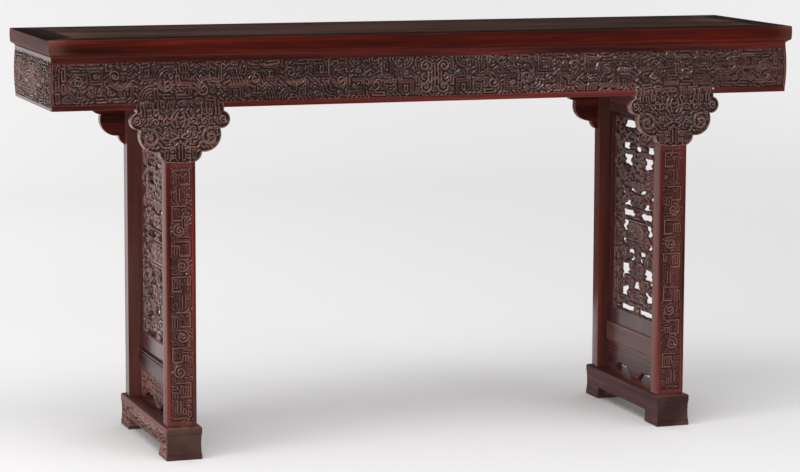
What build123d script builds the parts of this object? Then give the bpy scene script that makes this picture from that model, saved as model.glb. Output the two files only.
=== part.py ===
"""A Chinese altar table with recessed legs: a framed top, carved aprons with cloud-shaped
spandrel heads, and two end frames with openwork panels that stand on runners.

Millimetres, +Z up. X runs along the length and Y across the depth, with the front at -Y.
The origin is on the floor, at the centre of the table. Every corner piece is drawn at the
front left and then mirrored to its own corner.
"""

import os
from build123d import *

# ---- Driving dimensions -------------------------------------------------------------

# The whole table
table_length = 1700.0
table_depth = 410.0
table_height = 900.0

# Framed top
top_thickness = 37.0
frame_width = 64.0
edge_round = 5.0
undercut_depth = 7.0
undercut_height = 13.0
corner_tenon_thickness = 9.0
corner_tenon_width = 28.0
corner_tenon_inset = 9.0
corner_tenon_cover = 12.0

# Boards that float in the framed top
panel_thickness = 14.0
panel_tongue = 8.0
panel_tongue_thickness = 6.0
panel_float = 1.0
panel_seam_y = 24.0
seam_tongue = 5.0
seam_tongue_thickness = 5.0

# Battens under the boards, held by a sliding dovetail
batten_count = 5
batten_width = 24.0
batten_height = 19.0
batten_dovetail_depth = 4.0
batten_dovetail_neck = 14.0
batten_dovetail_flare = 3.0
batten_tenon_length = 12.0
batten_tenon_thickness = 11.0
batten_tenon_width = 16.0

# Aprons
front_overhang = 14.0
end_overhang = 8.0
apron_height = 112.0
apron_thickness = 16.0
apron_border_top = 10.0
apron_border_bottom = 13.0
apron_bulge = 3.5
apron_tongue = 5.0
apron_tongue_thickness = 5.0
apron_tongue_stop = 40.0
mitre_key_thickness = 4.0
mitre_key_width = 9.0
mitre_key_height = 70.0

# Cloud-shaped spandrel heads
head_drop = 116.0
head_proud = 4.0
head_neck_half = 95.0
head_neck_length = 7.0
head_upper_half = 108.0
head_tongue_length = 150.0
head_tongue = 7.0
head_rim = 5.0
head_field_depth = 2.0

# Legs
leg_inset = 282.0
leg_width = 65.0
leg_depth = 34.0
leg_corner_round = 2.0
leg_border = 11.0
leg_field_depth = 2.0
leg_top_tenon_width = 45.0
leg_top_tenon_thickness = 9.0
leg_top_tenon_length = 19.0
leg_foot_tenon_width = 40.0
leg_foot_tenon_thickness = 16.0
leg_foot_tenon_length = 30.0

# Dovetailed rib on a leg's neck, on which the head and the apron hang
rib_root_width = 18.0
rib_flare = 3.0
rib_depth = 6.0
rib_stop = 12.0

# Stretchers between a front and a back leg. The middle one lies on the lower panel, and the
# upper one hangs at a drop below the framed top.
stretcher_thickness = 18.0
lower_panel_height = 69.0
mid_stretcher_height = 44.0
top_stretcher_drop = 120.0
top_stretcher_height = 60.0
stretcher_tenon_thickness = 10.0
stretcher_tenon_shoulder = 8.0
mid_tenon_length = 20.0
top_tenon_length = 12.0
bead_radius = 3.5
bead_count = 2

# Openwork panel, in two boards that meet at a seam in the middle
openwork_thickness = 12.0
board_tongue = 6.0
openwork_side_border = 35.0
openwork_bottom_border = 40.0
openwork_top_border = 12.0
key_count = 9
key_slot = 13.0
blossom_petals = 5

# Lower panel, with a shaped lower edge
lower_foot_length = 40.0
lower_pendant_half = 17.0
lower_arch_height = 24.0
lower_field_margin = 6.0
lower_field_inset = 28.0
lower_field_depth = 2.0

# Runners
runner_width = 79.0
runner_overhang = 4.0
runner_height = 71.0
runner_waist = 3.0
runner_base_band = 7.0
runner_top_band = 12.0
runner_top_round = 4.0
runner_cutout_height = 26.0
runner_pad_length = 71.0
runner_cutout_round = 6.0

# Room left at the blind end of every tenon and tongue
joint_gap = 1.0

# ---- Heights and planes that follow --------------------------------------------------

top_underside = table_height - top_thickness
panel_underside = table_height - panel_thickness
apron_underside = top_underside - apron_height
frame_inner_x = table_length / 2 - frame_width
frame_inner_y = table_depth / 2 - frame_width

apron_face_x = table_length / 2 - end_overhang
apron_face_y = table_depth / 2 - front_overhang
apron_back_y = apron_face_y - apron_thickness
apron_tongue_y = apron_face_y - apron_thickness / 2
apron_tongue_x = apron_face_x - apron_thickness / 2

leg_x = table_length / 2 - leg_inset
leg_front_y = apron_face_y
leg_inner_y = leg_front_y - leg_depth
leg_middle_y = (leg_front_y + leg_inner_y) / 2
neck_y = (apron_back_y + leg_inner_y) / 2
head_front_y = apron_face_y + head_proud
head_underside = apron_underside - head_drop
rib_top_z = top_underside - rib_stop

runner_length = table_depth + 2 * runner_overhang
mid_stretcher_z = runner_height + lower_panel_height
mid_stretcher_top = mid_stretcher_z + mid_stretcher_height
top_stretcher_top = top_underside - top_stretcher_drop
top_stretcher_z = top_stretcher_top - top_stretcher_height

field_half_width = leg_inner_y - openwork_side_border
field_bottom = mid_stretcher_top + openwork_bottom_border
field_top = top_stretcher_z - openwork_top_border
field_height = field_top - field_bottom

CORNERS = [
    ("front_left", False, False),
    ("front_right", True, False),
    ("back_left", False, True),
    ("back_right", True, True),
]
SIDES = [("left", False), ("right", True)]
BATTEN_X = [leg_x * (2 * k / (batten_count - 1) - 1) for k in range(batten_count)]


# ---- Helpers -------------------------------------------------------------------------


def flip(to_right, to_back):
    """Mirrors the piece being built from the front left to its own side."""
    if to_right:
        mirror(about=Plane.YZ, mode=Mode.REPLACE)
    if to_back:
        mirror(about=Plane.XZ, mode=Mode.REPLACE)


def block(x, y, z, mode=Mode.ADD):
    """A rectangular block between the two values given for each axis."""
    with Locations(((x[0] + x[1]) / 2, (y[0] + y[1]) / 2, (z[0] + z[1]) / 2)):
        Box(abs(x[1] - x[0]), abs(y[1] - y[0]), abs(z[1] - z[0]), mode=mode)


def about(centre, size):
    """The two ends of a length laid evenly about a centre."""
    return (centre - size / 2, centre + size / 2)


def save(piece, name):
    """Labels a finished piece and writes it."""
    piece.part.label = name
    export_step(piece.part, f"parts/{name}.step")


# ---- Shared outlines -----------------------------------------------------------------


def edge_profile(half_size):
    """A frame member's section, across the member and up, with its rounded upper edge
    and its undercut lower edge at -half_size."""
    outer = -half_size
    inner = outer + frame_width
    with BuildSketch() as profile:
        with BuildLine():
            Polyline(
                (outer + undercut_depth, top_underside),
                (inner, top_underside),
                (inner, table_height),
                (outer + edge_round, table_height),
            )
            TangentArc(
                (outer + edge_round, table_height),
                (outer, table_height - edge_round),
                tangent=(-1, 0),
            )
            Line((outer, table_height - edge_round), (outer, top_underside + undercut_height))
            TangentArc(
                (outer, top_underside + undercut_height),
                (outer + undercut_depth, top_underside),
                tangent=(0, -1),
            )
        make_face()
    return profile.sketch


def apron_profile(face):
    """An apron's section, across the board and up, with its bulging carved field at -face."""
    field_low = apron_underside + apron_border_bottom
    field_high = top_underside - apron_border_top
    with BuildSketch() as profile:
        with BuildLine():
            ThreePointArc(
                (-face, field_low),
                (-face - apron_bulge, (field_low + field_high) / 2),
                (-face, field_high),
            )
            Polyline(
                (-face, field_high),
                (-face, top_underside),
                (-face + apron_thickness, top_underside),
                (-face + apron_thickness, apron_underside),
                (-face, apron_underside),
                (-face, field_low),
            )
        make_face()
    return profile.sketch


def head_outline():
    """A spandrel head seen from the front: three lobes on each side of the leg, with a
    notch between them. Drawn about the leg's centre line, down from the apron."""
    neck = (head_neck_half, apron_underside)
    neck_end = (head_neck_half, apron_underside - head_neck_length)
    upper_lobe = (head_upper_half, apron_underside - 0.21 * head_drop)
    upper_notch = (0.80 * head_upper_half, apron_underside - 0.38 * head_drop)
    middle_lobe = (0.75 * head_upper_half, apron_underside - 0.68 * head_drop)
    lower_notch = (0.43 * head_upper_half, apron_underside - 0.80 * head_drop)
    lower_lobe = (0.39 * head_upper_half, apron_underside - 0.91 * head_drop)
    lobe_end = (0.28 * head_upper_half, apron_underside - 0.985 * head_drop)
    bottom = (0, head_underside)
    with BuildSketch() as outline:
        with BuildLine():
            Polyline(bottom, (0, apron_underside), neck, neck_end)
            ThreePointArc(neck_end, upper_lobe, upper_notch)
            ThreePointArc(upper_notch, middle_lobe, lower_notch)
            ThreePointArc(lower_notch, lower_lobe, lobe_end)
            TangentArc(bottom, lobe_end, tangent=(1, 0))
        make_face()
        mirror(about=Plane.YZ)
    return outline.sketch


def hanging_rib(x, low, high):
    """The dovetailed rib on a front leg's neck, between two heights."""
    root = rib_root_width / 2
    tip = root + rib_flare
    with BuildPart() as rib:
        with BuildSketch(Plane.XY.offset(low)):
            with BuildLine():
                Polyline(
                    (x - root, -apron_back_y),
                    (x - tip, -apron_back_y - rib_depth),
                    (x + tip, -apron_back_y - rib_depth),
                    (x + root, -apron_back_y),
                    (x - root, -apron_back_y),
                )
            make_face()
        extrude(amount=high - low)
    return rib.part


def batten_section(x):
    """A batten's section, with the dovetail that slides in the boards."""
    neck = batten_dovetail_neck / 2
    tip = neck + batten_dovetail_flare
    half = batten_width / 2
    with BuildSketch() as section:
        with BuildLine():
            Polyline(
                (x - half, panel_underside - batten_height),
                (x + half, panel_underside - batten_height),
                (x + half, panel_underside),
                (x + neck, panel_underside),
                (x + tip, panel_underside + batten_dovetail_depth),
                (x - tip, panel_underside + batten_dovetail_depth),
                (x - neck, panel_underside),
                (x - half, panel_underside),
                (x - half, panel_underside - batten_height),
            )
        make_face()
    return section.sketch


# ---- Framed top ----------------------------------------------------------------------


def long_rail_plan():
    """The front rail seen from above, mitred at both ends."""
    with BuildSketch() as plan:
        with BuildLine():
            Polyline(
                (-table_length / 2, -table_depth / 2),
                (table_length / 2, -table_depth / 2),
                (frame_inner_x, -frame_inner_y),
                (-frame_inner_x, -frame_inner_y),
                (-table_length / 2, -table_depth / 2),
            )
        make_face()
    return plan.sketch


def end_rail_plan():
    """The left end rail seen from above, mitred at both ends."""
    with BuildSketch() as plan:
        with BuildLine():
            Polyline(
                (-table_length / 2, -table_depth / 2),
                (-frame_inner_x, -frame_inner_y),
                (-frame_inner_x, frame_inner_y),
                (-table_length / 2, table_depth / 2),
                (-table_length / 2, -table_depth / 2),
            )
        make_face()
    return plan.sketch


def corner_tenon(x_side, y_side, gap, mode):
    """The tenon that a long rail sends into an end rail at one corner."""
    middle = top_underside + (panel_underside - top_underside) / 2
    far_y = y_side * (frame_inner_y + corner_tenon_inset)
    block(
        (x_side * (frame_inner_x - frame_width), x_side * (table_length / 2 - corner_tenon_cover + gap)),
        (far_y, far_y + y_side * corner_tenon_width),
        about(middle, corner_tenon_thickness),
        mode,
    )


def panel_groove_z():
    """The height of the boards' tongue."""
    return (panel_underside, panel_underside + panel_tongue_thickness)


def batten_tenon_z():
    """The height of the battens' tenons, level with the batten's middle."""
    return about(panel_underside - batten_height / 2, batten_tenon_thickness)


def make_long_rails():
    """Front and back members of the top frame."""
    groove = panel_tongue + panel_float
    for name, to_back in (("top_front_rail", False), ("top_back_rail", True)):
        with BuildPart() as rail:
            with BuildSketch(Plane.YZ):
                add(edge_profile(table_depth / 2))
            extrude(amount=table_length / 2, both=True)
            with BuildSketch(Plane.XY.offset(top_underside)):
                add(long_rail_plan())
            extrude(amount=top_thickness, mode=Mode.INTERSECT)
            block(
                (-table_length / 2, table_length / 2),
                (-frame_inner_y - groove, -frame_inner_y),
                panel_groove_z(),
                Mode.SUBTRACT,
            )
            for side in (-1, 1):
                corner_tenon(side, -1, 0, Mode.ADD)
                block(
                    about(side * leg_x, leg_top_tenon_width),
                    about(-neck_y, leg_top_tenon_thickness),
                    (top_underside, top_underside + leg_top_tenon_length + joint_gap),
                    Mode.SUBTRACT,
                )
            for x in BATTEN_X:
                block(
                    about(x, batten_tenon_width),
                    (-frame_inner_y - batten_tenon_length - joint_gap, -frame_inner_y),
                    batten_tenon_z(),
                    Mode.SUBTRACT,
                )
            block(
                about(0, 2 * (apron_face_x - apron_tongue_stop)),
                about(-apron_tongue_y, apron_tongue_thickness),
                (top_underside, top_underside + apron_tongue + joint_gap),
                Mode.SUBTRACT,
            )
            flip(False, to_back)
        save(rail, name)


def make_end_rails():
    """Left and right members of the top frame, with mortises for the long rails."""
    groove = panel_tongue + panel_float
    for side, to_right in SIDES:
        with BuildPart() as rail:
            with BuildSketch(Plane.XZ):
                add(edge_profile(table_length / 2))
            extrude(amount=table_depth / 2, both=True)
            with BuildSketch(Plane.XY.offset(top_underside)):
                add(end_rail_plan())
            extrude(amount=top_thickness, mode=Mode.INTERSECT)
            block(
                (-frame_inner_x - groove, -frame_inner_x),
                (-table_depth / 2, table_depth / 2),
                panel_groove_z(),
                Mode.SUBTRACT,
            )
            for end in (-1, 1):
                corner_tenon(-1, end, joint_gap, Mode.SUBTRACT)
            block(
                about(-apron_tongue_x, apron_tongue_thickness),
                about(0, 2 * (apron_face_y - apron_tongue_stop)),
                (top_underside, top_underside + apron_tongue + joint_gap),
                Mode.SUBTRACT,
            )
            flip(to_right, False)
        save(rail, f"top_{side}_end_rail")


def make_top_boards():
    """The two boards that float in the frame, joined by a tongue along their seam."""
    seam_z = about((panel_underside + table_height) / 2, seam_tongue_thickness)
    tongue_x = frame_inner_x + panel_tongue
    with BuildPart() as front:
        block(
            (-frame_inner_x, frame_inner_x),
            (-frame_inner_y, panel_seam_y),
            (panel_underside, table_height),
        )
        block((-tongue_x, tongue_x), (-frame_inner_y - panel_tongue, panel_seam_y), panel_groove_z())
        block((-frame_inner_x, frame_inner_x), (panel_seam_y, panel_seam_y + seam_tongue), seam_z)
        cut_batten_grooves()
    save(front, "top_panel_front_board")
    with BuildPart() as back:
        block(
            (-frame_inner_x, frame_inner_x),
            (panel_seam_y, frame_inner_y),
            (panel_underside, table_height),
        )
        block((-tongue_x, tongue_x), (panel_seam_y, frame_inner_y + panel_tongue), panel_groove_z())
        block(
            (-tongue_x, tongue_x),
            (panel_seam_y, panel_seam_y + seam_tongue + joint_gap),
            seam_z,
            Mode.SUBTRACT,
        )
        cut_batten_grooves()
    save(back, "top_panel_back_board")


def batten(x):
    """One batten, with a tenon at each end."""
    with BuildPart() as one:
        with BuildSketch(Plane.XZ):
            add(batten_section(x))
        extrude(amount=frame_inner_y, both=True)
        reach = frame_inner_y + batten_tenon_length
        block(about(x, batten_tenon_width), (-reach, reach), batten_tenon_z())
    return one


def cut_batten_grooves():
    """Cuts the dovetailed grooves for the battens in the board being built."""
    for x in BATTEN_X:
        add(batten(x).part, mode=Mode.SUBTRACT)


def make_battens():
    """Battens that slide under the boards and are tenoned into the long rails."""
    for number, x in enumerate(BATTEN_X, start=1):
        save(batten(x), f"top_batten_{number}")


# ---- Aprons and spandrel heads -------------------------------------------------------


def mitre_key(y_side, gap):
    """The tongue across the mitre at a left corner of the aprons."""
    corner = (-apron_tongue_x, y_side * apron_tongue_y)
    with BuildPart() as key:
        with BuildSketch(Plane.XY.offset(apron_underside + apron_height / 2)):
            with Locations(corner):
                Rectangle(mitre_key_thickness, mitre_key_width + 2 * gap, rotation=y_side * 45)
        extrude(amount=mitre_key_height / 2, both=True)
    return key.part


def long_apron_plan():
    """The front apron seen from above, mitred at both ends out to the bulge of its face."""
    out = 2 * apron_bulge
    with BuildSketch() as plan:
        with BuildLine():
            Polyline(
                (-apron_face_x - out, -apron_face_y - out),
                (apron_face_x + out, -apron_face_y - out),
                (apron_face_x - apron_thickness, -apron_back_y),
                (-apron_face_x + apron_thickness, -apron_back_y),
                (-apron_face_x - out, -apron_face_y - out),
            )
        make_face()
    return plan.sketch


def end_apron_plan():
    """The left apron seen from above, mitred at both ends out to the bulge of its face."""
    out = 2 * apron_bulge
    with BuildSketch() as plan:
        with BuildLine():
            Polyline(
                (-apron_face_x - out, -apron_face_y - out),
                (-apron_face_x + apron_thickness, -apron_back_y),
                (-apron_face_x + apron_thickness, apron_back_y),
                (-apron_face_x - out, apron_face_y + out),
                (-apron_face_x - out, -apron_face_y - out),
            )
        make_face()
    return plan.sketch


def make_long_aprons():
    """Front and back aprons, mitred to the end aprons and hung on the legs' ribs."""
    for name, to_back in (("front_apron", False), ("back_apron", True)):
        with BuildPart() as apron:
            with BuildSketch(Plane.YZ):
                add(apron_profile(apron_face_y))
            extrude(amount=table_length / 2, both=True)
            with BuildSketch(Plane.XY.offset(apron_underside)):
                add(long_apron_plan())
            extrude(amount=apron_height, mode=Mode.INTERSECT)
            key = mitre_key(-1, joint_gap)
            add(key, mode=Mode.SUBTRACT)
            add(mirror(key, about=Plane.YZ, mode=Mode.PRIVATE), mode=Mode.SUBTRACT)
            for x in (-leg_x, leg_x):
                add(hanging_rib(x, apron_underside, rib_top_z), mode=Mode.SUBTRACT)
                block(
                    about(x, head_tongue_length),
                    about(-apron_tongue_y, apron_tongue_thickness),
                    (apron_underside, apron_underside + head_tongue + joint_gap),
                    Mode.SUBTRACT,
                )
            block(
                about(0, 2 * (apron_face_x - apron_tongue_stop)),
                about(-apron_tongue_y, apron_tongue_thickness),
                (top_underside, top_underside + apron_tongue),
            )
            flip(False, to_back)
        save(apron, name)


def make_end_aprons():
    """Left and right aprons, with a tongue at each end that crosses the mitre."""
    for side, to_right in SIDES:
        with BuildPart() as apron:
            with BuildSketch(Plane.XZ):
                add(apron_profile(apron_face_x))
            extrude(amount=table_depth / 2, both=True)
            with BuildSketch(Plane.XY.offset(apron_underside)):
                add(end_apron_plan())
            extrude(amount=apron_height, mode=Mode.INTERSECT)
            for end in (-1, 1):
                add(mitre_key(end, 0))
            block(
                about(-apron_tongue_x, apron_tongue_thickness),
                about(0, 2 * (apron_face_y - apron_tongue_stop)),
                (top_underside, top_underside + apron_tongue),
            )
            flip(to_right, False)
        save(apron, f"{side}_end_apron")


def head_field():
    """The carved field of a head: its outline drawn smaller from the middle of the apron's
    lower edge, which leaves a raised rim and keeps the field open towards the apron."""
    share = 1 - head_rim / head_drop
    with BuildSketch() as field:
        with Locations((0, apron_underside * (1 - share))):
            add(scale(head_outline(), by=share, mode=Mode.PRIVATE))
    return field.sketch


def head_plane():
    """The front face of the front left head, with its origin under the leg's centre."""
    return Plane(origin=(-leg_x, -head_front_y, 0), x_dir=(1, 0, 0), z_dir=(0, -1, 0))


def make_heads():
    """Cloud-shaped heads with a raised rim, which hang on the legs under the aprons."""
    for corner, to_right, to_back in CORNERS:
        with BuildPart() as head:
            with BuildSketch(head_plane()):
                add(head_outline())
            extrude(amount=-(head_proud + apron_thickness))
            with BuildSketch(head_plane()):
                add(head_field())
            extrude(amount=-head_field_depth, mode=Mode.SUBTRACT)
            block(
                about(-leg_x, head_tongue_length),
                about(-apron_tongue_y, apron_tongue_thickness),
                (apron_underside, apron_underside + head_tongue),
            )
            rib = hanging_rib(-leg_x, head_underside, apron_underside + head_tongue)
            add(rib, mode=Mode.SUBTRACT)
            flip(to_right, to_back)
        save(head, f"{corner}_spandrel_head")


# ---- Leg frames ----------------------------------------------------------------------


def stretcher_tenon(z, height, length, gap, mode):
    """Tenons at both ends of a stretcher of the left leg frame."""
    reach = leg_inner_y + length + gap
    block(
        about(-leg_x, stretcher_tenon_thickness),
        (-reach, reach),
        (z + stretcher_tenon_shoulder, z + height - stretcher_tenon_shoulder),
        mode,
    )


def make_legs():
    """Legs with a sunk field between borders, and a cut-back neck behind head and apron."""
    for corner, to_right, to_back in CORNERS:
        with BuildPart() as leg:
            block(
                about(-leg_x, leg_width),
                (-leg_front_y, -leg_inner_y),
                (runner_height, top_underside),
            )
            fillet(leg.edges().filter_by(Axis.Z).group_by(Axis.Y)[0], leg_corner_round)
            block(
                about(-leg_x, leg_width - 2 * leg_border),
                (-leg_front_y, -leg_front_y + leg_field_depth),
                (runner_height + leg_border, head_underside - leg_border),
                Mode.SUBTRACT,
            )
            with BuildSketch(head_plane()):
                add(head_outline())
                with Locations((0, (apron_underside + top_underside) / 2)):
                    Rectangle(2 * head_neck_half, apron_height)
            extrude(amount=-(head_proud + apron_thickness), mode=Mode.SUBTRACT)
            add(hanging_rib(-leg_x, head_underside, rib_top_z))
            block(
                about(-leg_x, leg_top_tenon_width),
                about(-neck_y, leg_top_tenon_thickness),
                (top_underside, top_underside + leg_top_tenon_length),
            )
            block(
                about(-leg_x, leg_foot_tenon_width),
                about(-leg_middle_y, leg_foot_tenon_thickness),
                (runner_height - leg_foot_tenon_length, runner_height),
            )
            reach = board_tongue + joint_gap
            for low, high in (
                (runner_height, mid_stretcher_z + reach),
                (mid_stretcher_top - reach, top_stretcher_z + reach),
            ):
                block(
                    about(-leg_x, openwork_thickness),
                    (-leg_inner_y - board_tongue - joint_gap, -leg_inner_y),
                    (low, high),
                    Mode.SUBTRACT,
                )
            stretcher_tenon(
                mid_stretcher_z, mid_stretcher_height, mid_tenon_length, joint_gap, Mode.SUBTRACT
            )
            stretcher_tenon(
                top_stretcher_z, top_stretcher_height, top_tenon_length, joint_gap, Mode.SUBTRACT
            )
            flip(to_right, to_back)
        save(leg, f"{corner}_leg")


def board_groove(low, high):
    """A groove for the panels' tongues along a stretcher of the left leg frame."""
    block(
        about(-leg_x, openwork_thickness), (-leg_inner_y, leg_inner_y), (low, high), Mode.SUBTRACT
    )


def make_mid_stretchers():
    """Stretchers between the openwork and the lower panel, beaded on their outer face."""
    groove = board_tongue + joint_gap
    bead_z = [mid_stretcher_top - bead_radius * (2 * k + 1) for k in range(bead_count)]
    for side, to_right in SIDES:
        with BuildPart() as stretcher:
            block(
                about(-leg_x, stretcher_thickness),
                (-leg_inner_y, leg_inner_y),
                (mid_stretcher_z, mid_stretcher_top),
            )
            with BuildSketch(Plane.XZ):
                with Locations(*[(-leg_x - stretcher_thickness / 2, z) for z in bead_z]):
                    Circle(bead_radius)
            extrude(amount=leg_inner_y, both=True)
            stretcher_tenon(mid_stretcher_z, mid_stretcher_height, mid_tenon_length, 0, Mode.ADD)
            board_groove(mid_stretcher_z, mid_stretcher_z + groove)
            board_groove(mid_stretcher_top - groove, mid_stretcher_top)
            flip(to_right, False)
        save(stretcher, f"{side}_mid_stretcher")


def make_top_stretchers():
    """Stretchers above the openwork, behind the spandrel heads."""
    for side, to_right in SIDES:
        with BuildPart() as stretcher:
            block(
                about(-leg_x, stretcher_thickness),
                (-leg_inner_y, leg_inner_y),
                (top_stretcher_z, top_stretcher_top),
            )
            stretcher_tenon(top_stretcher_z, top_stretcher_height, top_tenon_length, 0, Mode.ADD)
            board_groove(top_stretcher_z, top_stretcher_z + board_tongue + joint_gap)
            flip(to_right, False)
        save(stretcher, f"{side}_top_stretcher")


# ---- Openwork panel ------------------------------------------------------------------
#
# The pattern is drawn on the pierced field. u runs from the seam (0) to the side border
# (1), and v from the lower border (0) to the upper border (1).


def spot(u, v):
    """A point of the pierced field."""
    return (u * field_half_width, field_bottom + v * field_height)


def window(u, v):
    """A square opening between two values of u and two of v."""
    (x0, z0), (x1, z1) = spot(u[0], v[0]), spot(u[1], v[1])
    with Locations(((x0 + x1) / 2, (z0 + z1) / 2)):
        Rectangle(x1 - x0, z1 - z0, mode=Mode.SUBTRACT)


def flower_windows():
    """Openings between the flowers, the leaves and the fret."""
    window((0.08, 0.80), (0.957, 1))
    window((0.30, 0.76), (0.842, 0.918))
    window((0, 0.19), (0.842, 0.872))
    window((0.20, 0.74), (0.742, 0.824))
    window((0.72, 0.94), (0.708, 0.728))
    window((0.26, 0.56), (0.676, 0.694))
    window((0.04, 0.46), (0.607, 0.651))
    window((0.55, 0.84), (0.607, 0.651))


def vase_windows():
    """Openings on both sides of the vase and round its neck."""
    window((0.24, 0.70), (0.550, 0.584))
    window((0, 0.74), (0.497, 0.535))
    window((0.12, 0.74), (0.416, 0.478))
    window((0.46, 0.78), (0.349, 0.380))


def stand_windows():
    """Openings between the legs and rails of the vase's stand."""
    window((0.06, 0.50), (0.268, 0.331))
    window((0.06, 0.23), (0.225, 0.268))
    window((0.30, 0.78), (0.190, 0.250))
    window((0.50, 0.78), (0.150, 0.190))
    window((0, 0.20), (0.125, 0.170))
    window((0.33, 0.80), (0.072, 0.133))
    window((0.05, 0.88), (0, 0.032))


def side_keys():
    """Square slots of the key fret that stands along the side border."""
    slot_u = 1 - key_slot / field_half_width
    slot_v = key_slot / field_height / 2
    for k in range(key_count):
        middle = (k + 0.5) / key_count
        window((slot_u, 1), (middle - slot_v, middle + slot_v))


def blossom(u, v, radius):
    """An open flower."""
    with Locations(spot(u, v)):
        Circle(0.70 * radius)
        with PolarLocations(0.60 * radius, blossom_petals, start_angle=90):
            Circle(0.40 * radius)


def leaf(root, tip, belly):
    """A pointed leaf from its root to its tip. Its edges bow out by belly of its length."""
    (x0, z0), (x1, z1) = spot(*root), spot(*tip)
    with BuildSketch() as blade:
        with BuildLine():
            for side in (-belly, belly):
                ThreePointArc(
                    (x0, z0),
                    ((x0 + x1) / 2 - side * (z1 - z0), (z0 + z1) / 2 + side * (x1 - x0)),
                    (x1, z1),
                )
        make_face()
    return blade.sketch


def foliage():
    """Flowers and leaves of the branch in the vase, and the leaves under its stand."""
    blossom(0, 0.915, 20)
    blossom(0, 0.765, 29)
    blossom(0.52, 0.697, 18)
    for root, tip, belly in (
        ((0.22, 0.715), (0.84, 0.752), 0.18),
        ((0.82, 0.93), (0.48, 0.885), 0.22),
        ((0.56, 0.60), (0.84, 0.555), 0.20),
        ((0.04, 0.575), (0.40, 0.630), 0.16),
        ((0.60, 0.262), (0.24, 0.302), 0.16),
        ((0.84, 0.118), (0.44, 0.165), 0.18),
    ):
        add(leaf(root, tip, belly))


def vase_outline():
    """Half of the vase: foot, belly, neck and flared lip."""
    foot = spot(0.22, 0.376)
    shoulder = spot(0.13, 0.490)
    lip = spot(0.20, 0.556)
    with BuildSketch() as outline:
        with BuildLine():
            ThreePointArc(foot, spot(0.385, 0.430), shoulder)
            ThreePointArc(shoulder, spot(0.11, 0.525), lip)
            Polyline(lip, spot(0, 0.556), spot(0, 0.376), foot)
        make_face()
    return outline.sketch


def openwork_outline():
    """One pierced board, from the seam out to its tongue in the leg."""
    low = mid_stretcher_top - board_tongue
    high = top_stretcher_z + board_tongue
    outer = leg_inner_y + board_tongue
    with BuildSketch() as outline:
        with Locations((outer / 2, (low + high) / 2)):
            Rectangle(outer, high - low)
        flower_windows()
        vase_windows()
        stand_windows()
        side_keys()
        foliage()
        add(vase_outline())
        with Locations((outer / 2, (low + high) / 2)):
            Rectangle(outer, high - low, mode=Mode.INTERSECT)
    return outline.sketch


def make_openwork():
    """The two pierced boards of each end panel, which meet at a seam in the middle."""
    for side, to_right in SIDES:
        for end, to_back in (("back", False), ("front", True)):
            with BuildPart() as board:
                with BuildSketch(Plane.YZ.offset(-leg_x)):
                    add(openwork_outline())
                extrude(amount=openwork_thickness / 2, both=True)
                flip(to_right, to_back)
            save(board, f"{side}_openwork_{end}_board")


def lower_arches():
    """The two openings under a lower panel, between its feet and its pendant."""
    arch_end = leg_inner_y - lower_foot_length
    span = arch_end - lower_pendant_half
    crown = (lower_pendant_half + 0.52 * span, runner_height + lower_arch_height)
    with BuildSketch() as arches:
        with BuildLine():
            Line((arch_end, runner_height), (lower_pendant_half, runner_height))
            ThreePointArc(
                (lower_pendant_half, runner_height),
                (lower_pendant_half + 0.18 * span, runner_height + 0.72 * lower_arch_height),
                crown,
            )
            ThreePointArc(
                crown,
                (lower_pendant_half + 0.86 * span, runner_height + 0.78 * lower_arch_height),
                (arch_end, runner_height),
            )
        make_face()
        mirror(about=Plane.YZ)
    return arches.sketch


def make_lower_panels():
    """Lower panels, with a shaped lower edge and a sunk field on their outer face."""
    outer = leg_inner_y + board_tongue
    outer_face = -leg_x - openwork_thickness / 2
    field_low = runner_height + lower_arch_height + lower_field_margin
    for side, to_right in SIDES:
        with BuildPart() as panel:
            block(
                about(-leg_x, openwork_thickness),
                (-outer, outer),
                (runner_height, mid_stretcher_z + board_tongue),
            )
            with BuildSketch(Plane.YZ.offset(-leg_x)):
                add(lower_arches())
            extrude(amount=openwork_thickness, both=True, mode=Mode.SUBTRACT)
            block(
                (outer_face, outer_face + lower_field_depth),
                about(0, 2 * (leg_inner_y - lower_field_inset)),
                (field_low, mid_stretcher_z - lower_field_margin),
                Mode.SUBTRACT,
            )
            flip(to_right, False)
        save(panel, f"{side}_lower_panel")


# ---- Runners -------------------------------------------------------------------------


def runner_profile(half):
    """A runner's outline, about its middle, with a base band, a hollow waist and a top band."""
    waist_low = runner_base_band
    waist_high = runner_height - runner_top_band
    shoulder = runner_height - runner_top_round
    with BuildSketch() as profile:
        with BuildLine():
            Line((half, 0), (half, waist_low))
            ThreePointArc(
                (half, waist_low),
                (half - runner_waist, (waist_low + waist_high) / 2),
                (half, waist_high),
            )
            Line((half, waist_high), (half, shoulder))
            TangentArc((half, shoulder), (half - runner_top_round, runner_height), tangent=(0, 1))
            Polyline((half - runner_top_round, runner_height), (0, runner_height), (0, 0), (half, 0))
        make_face()
        mirror(about=Plane.YZ)
    return profile.sketch


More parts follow.
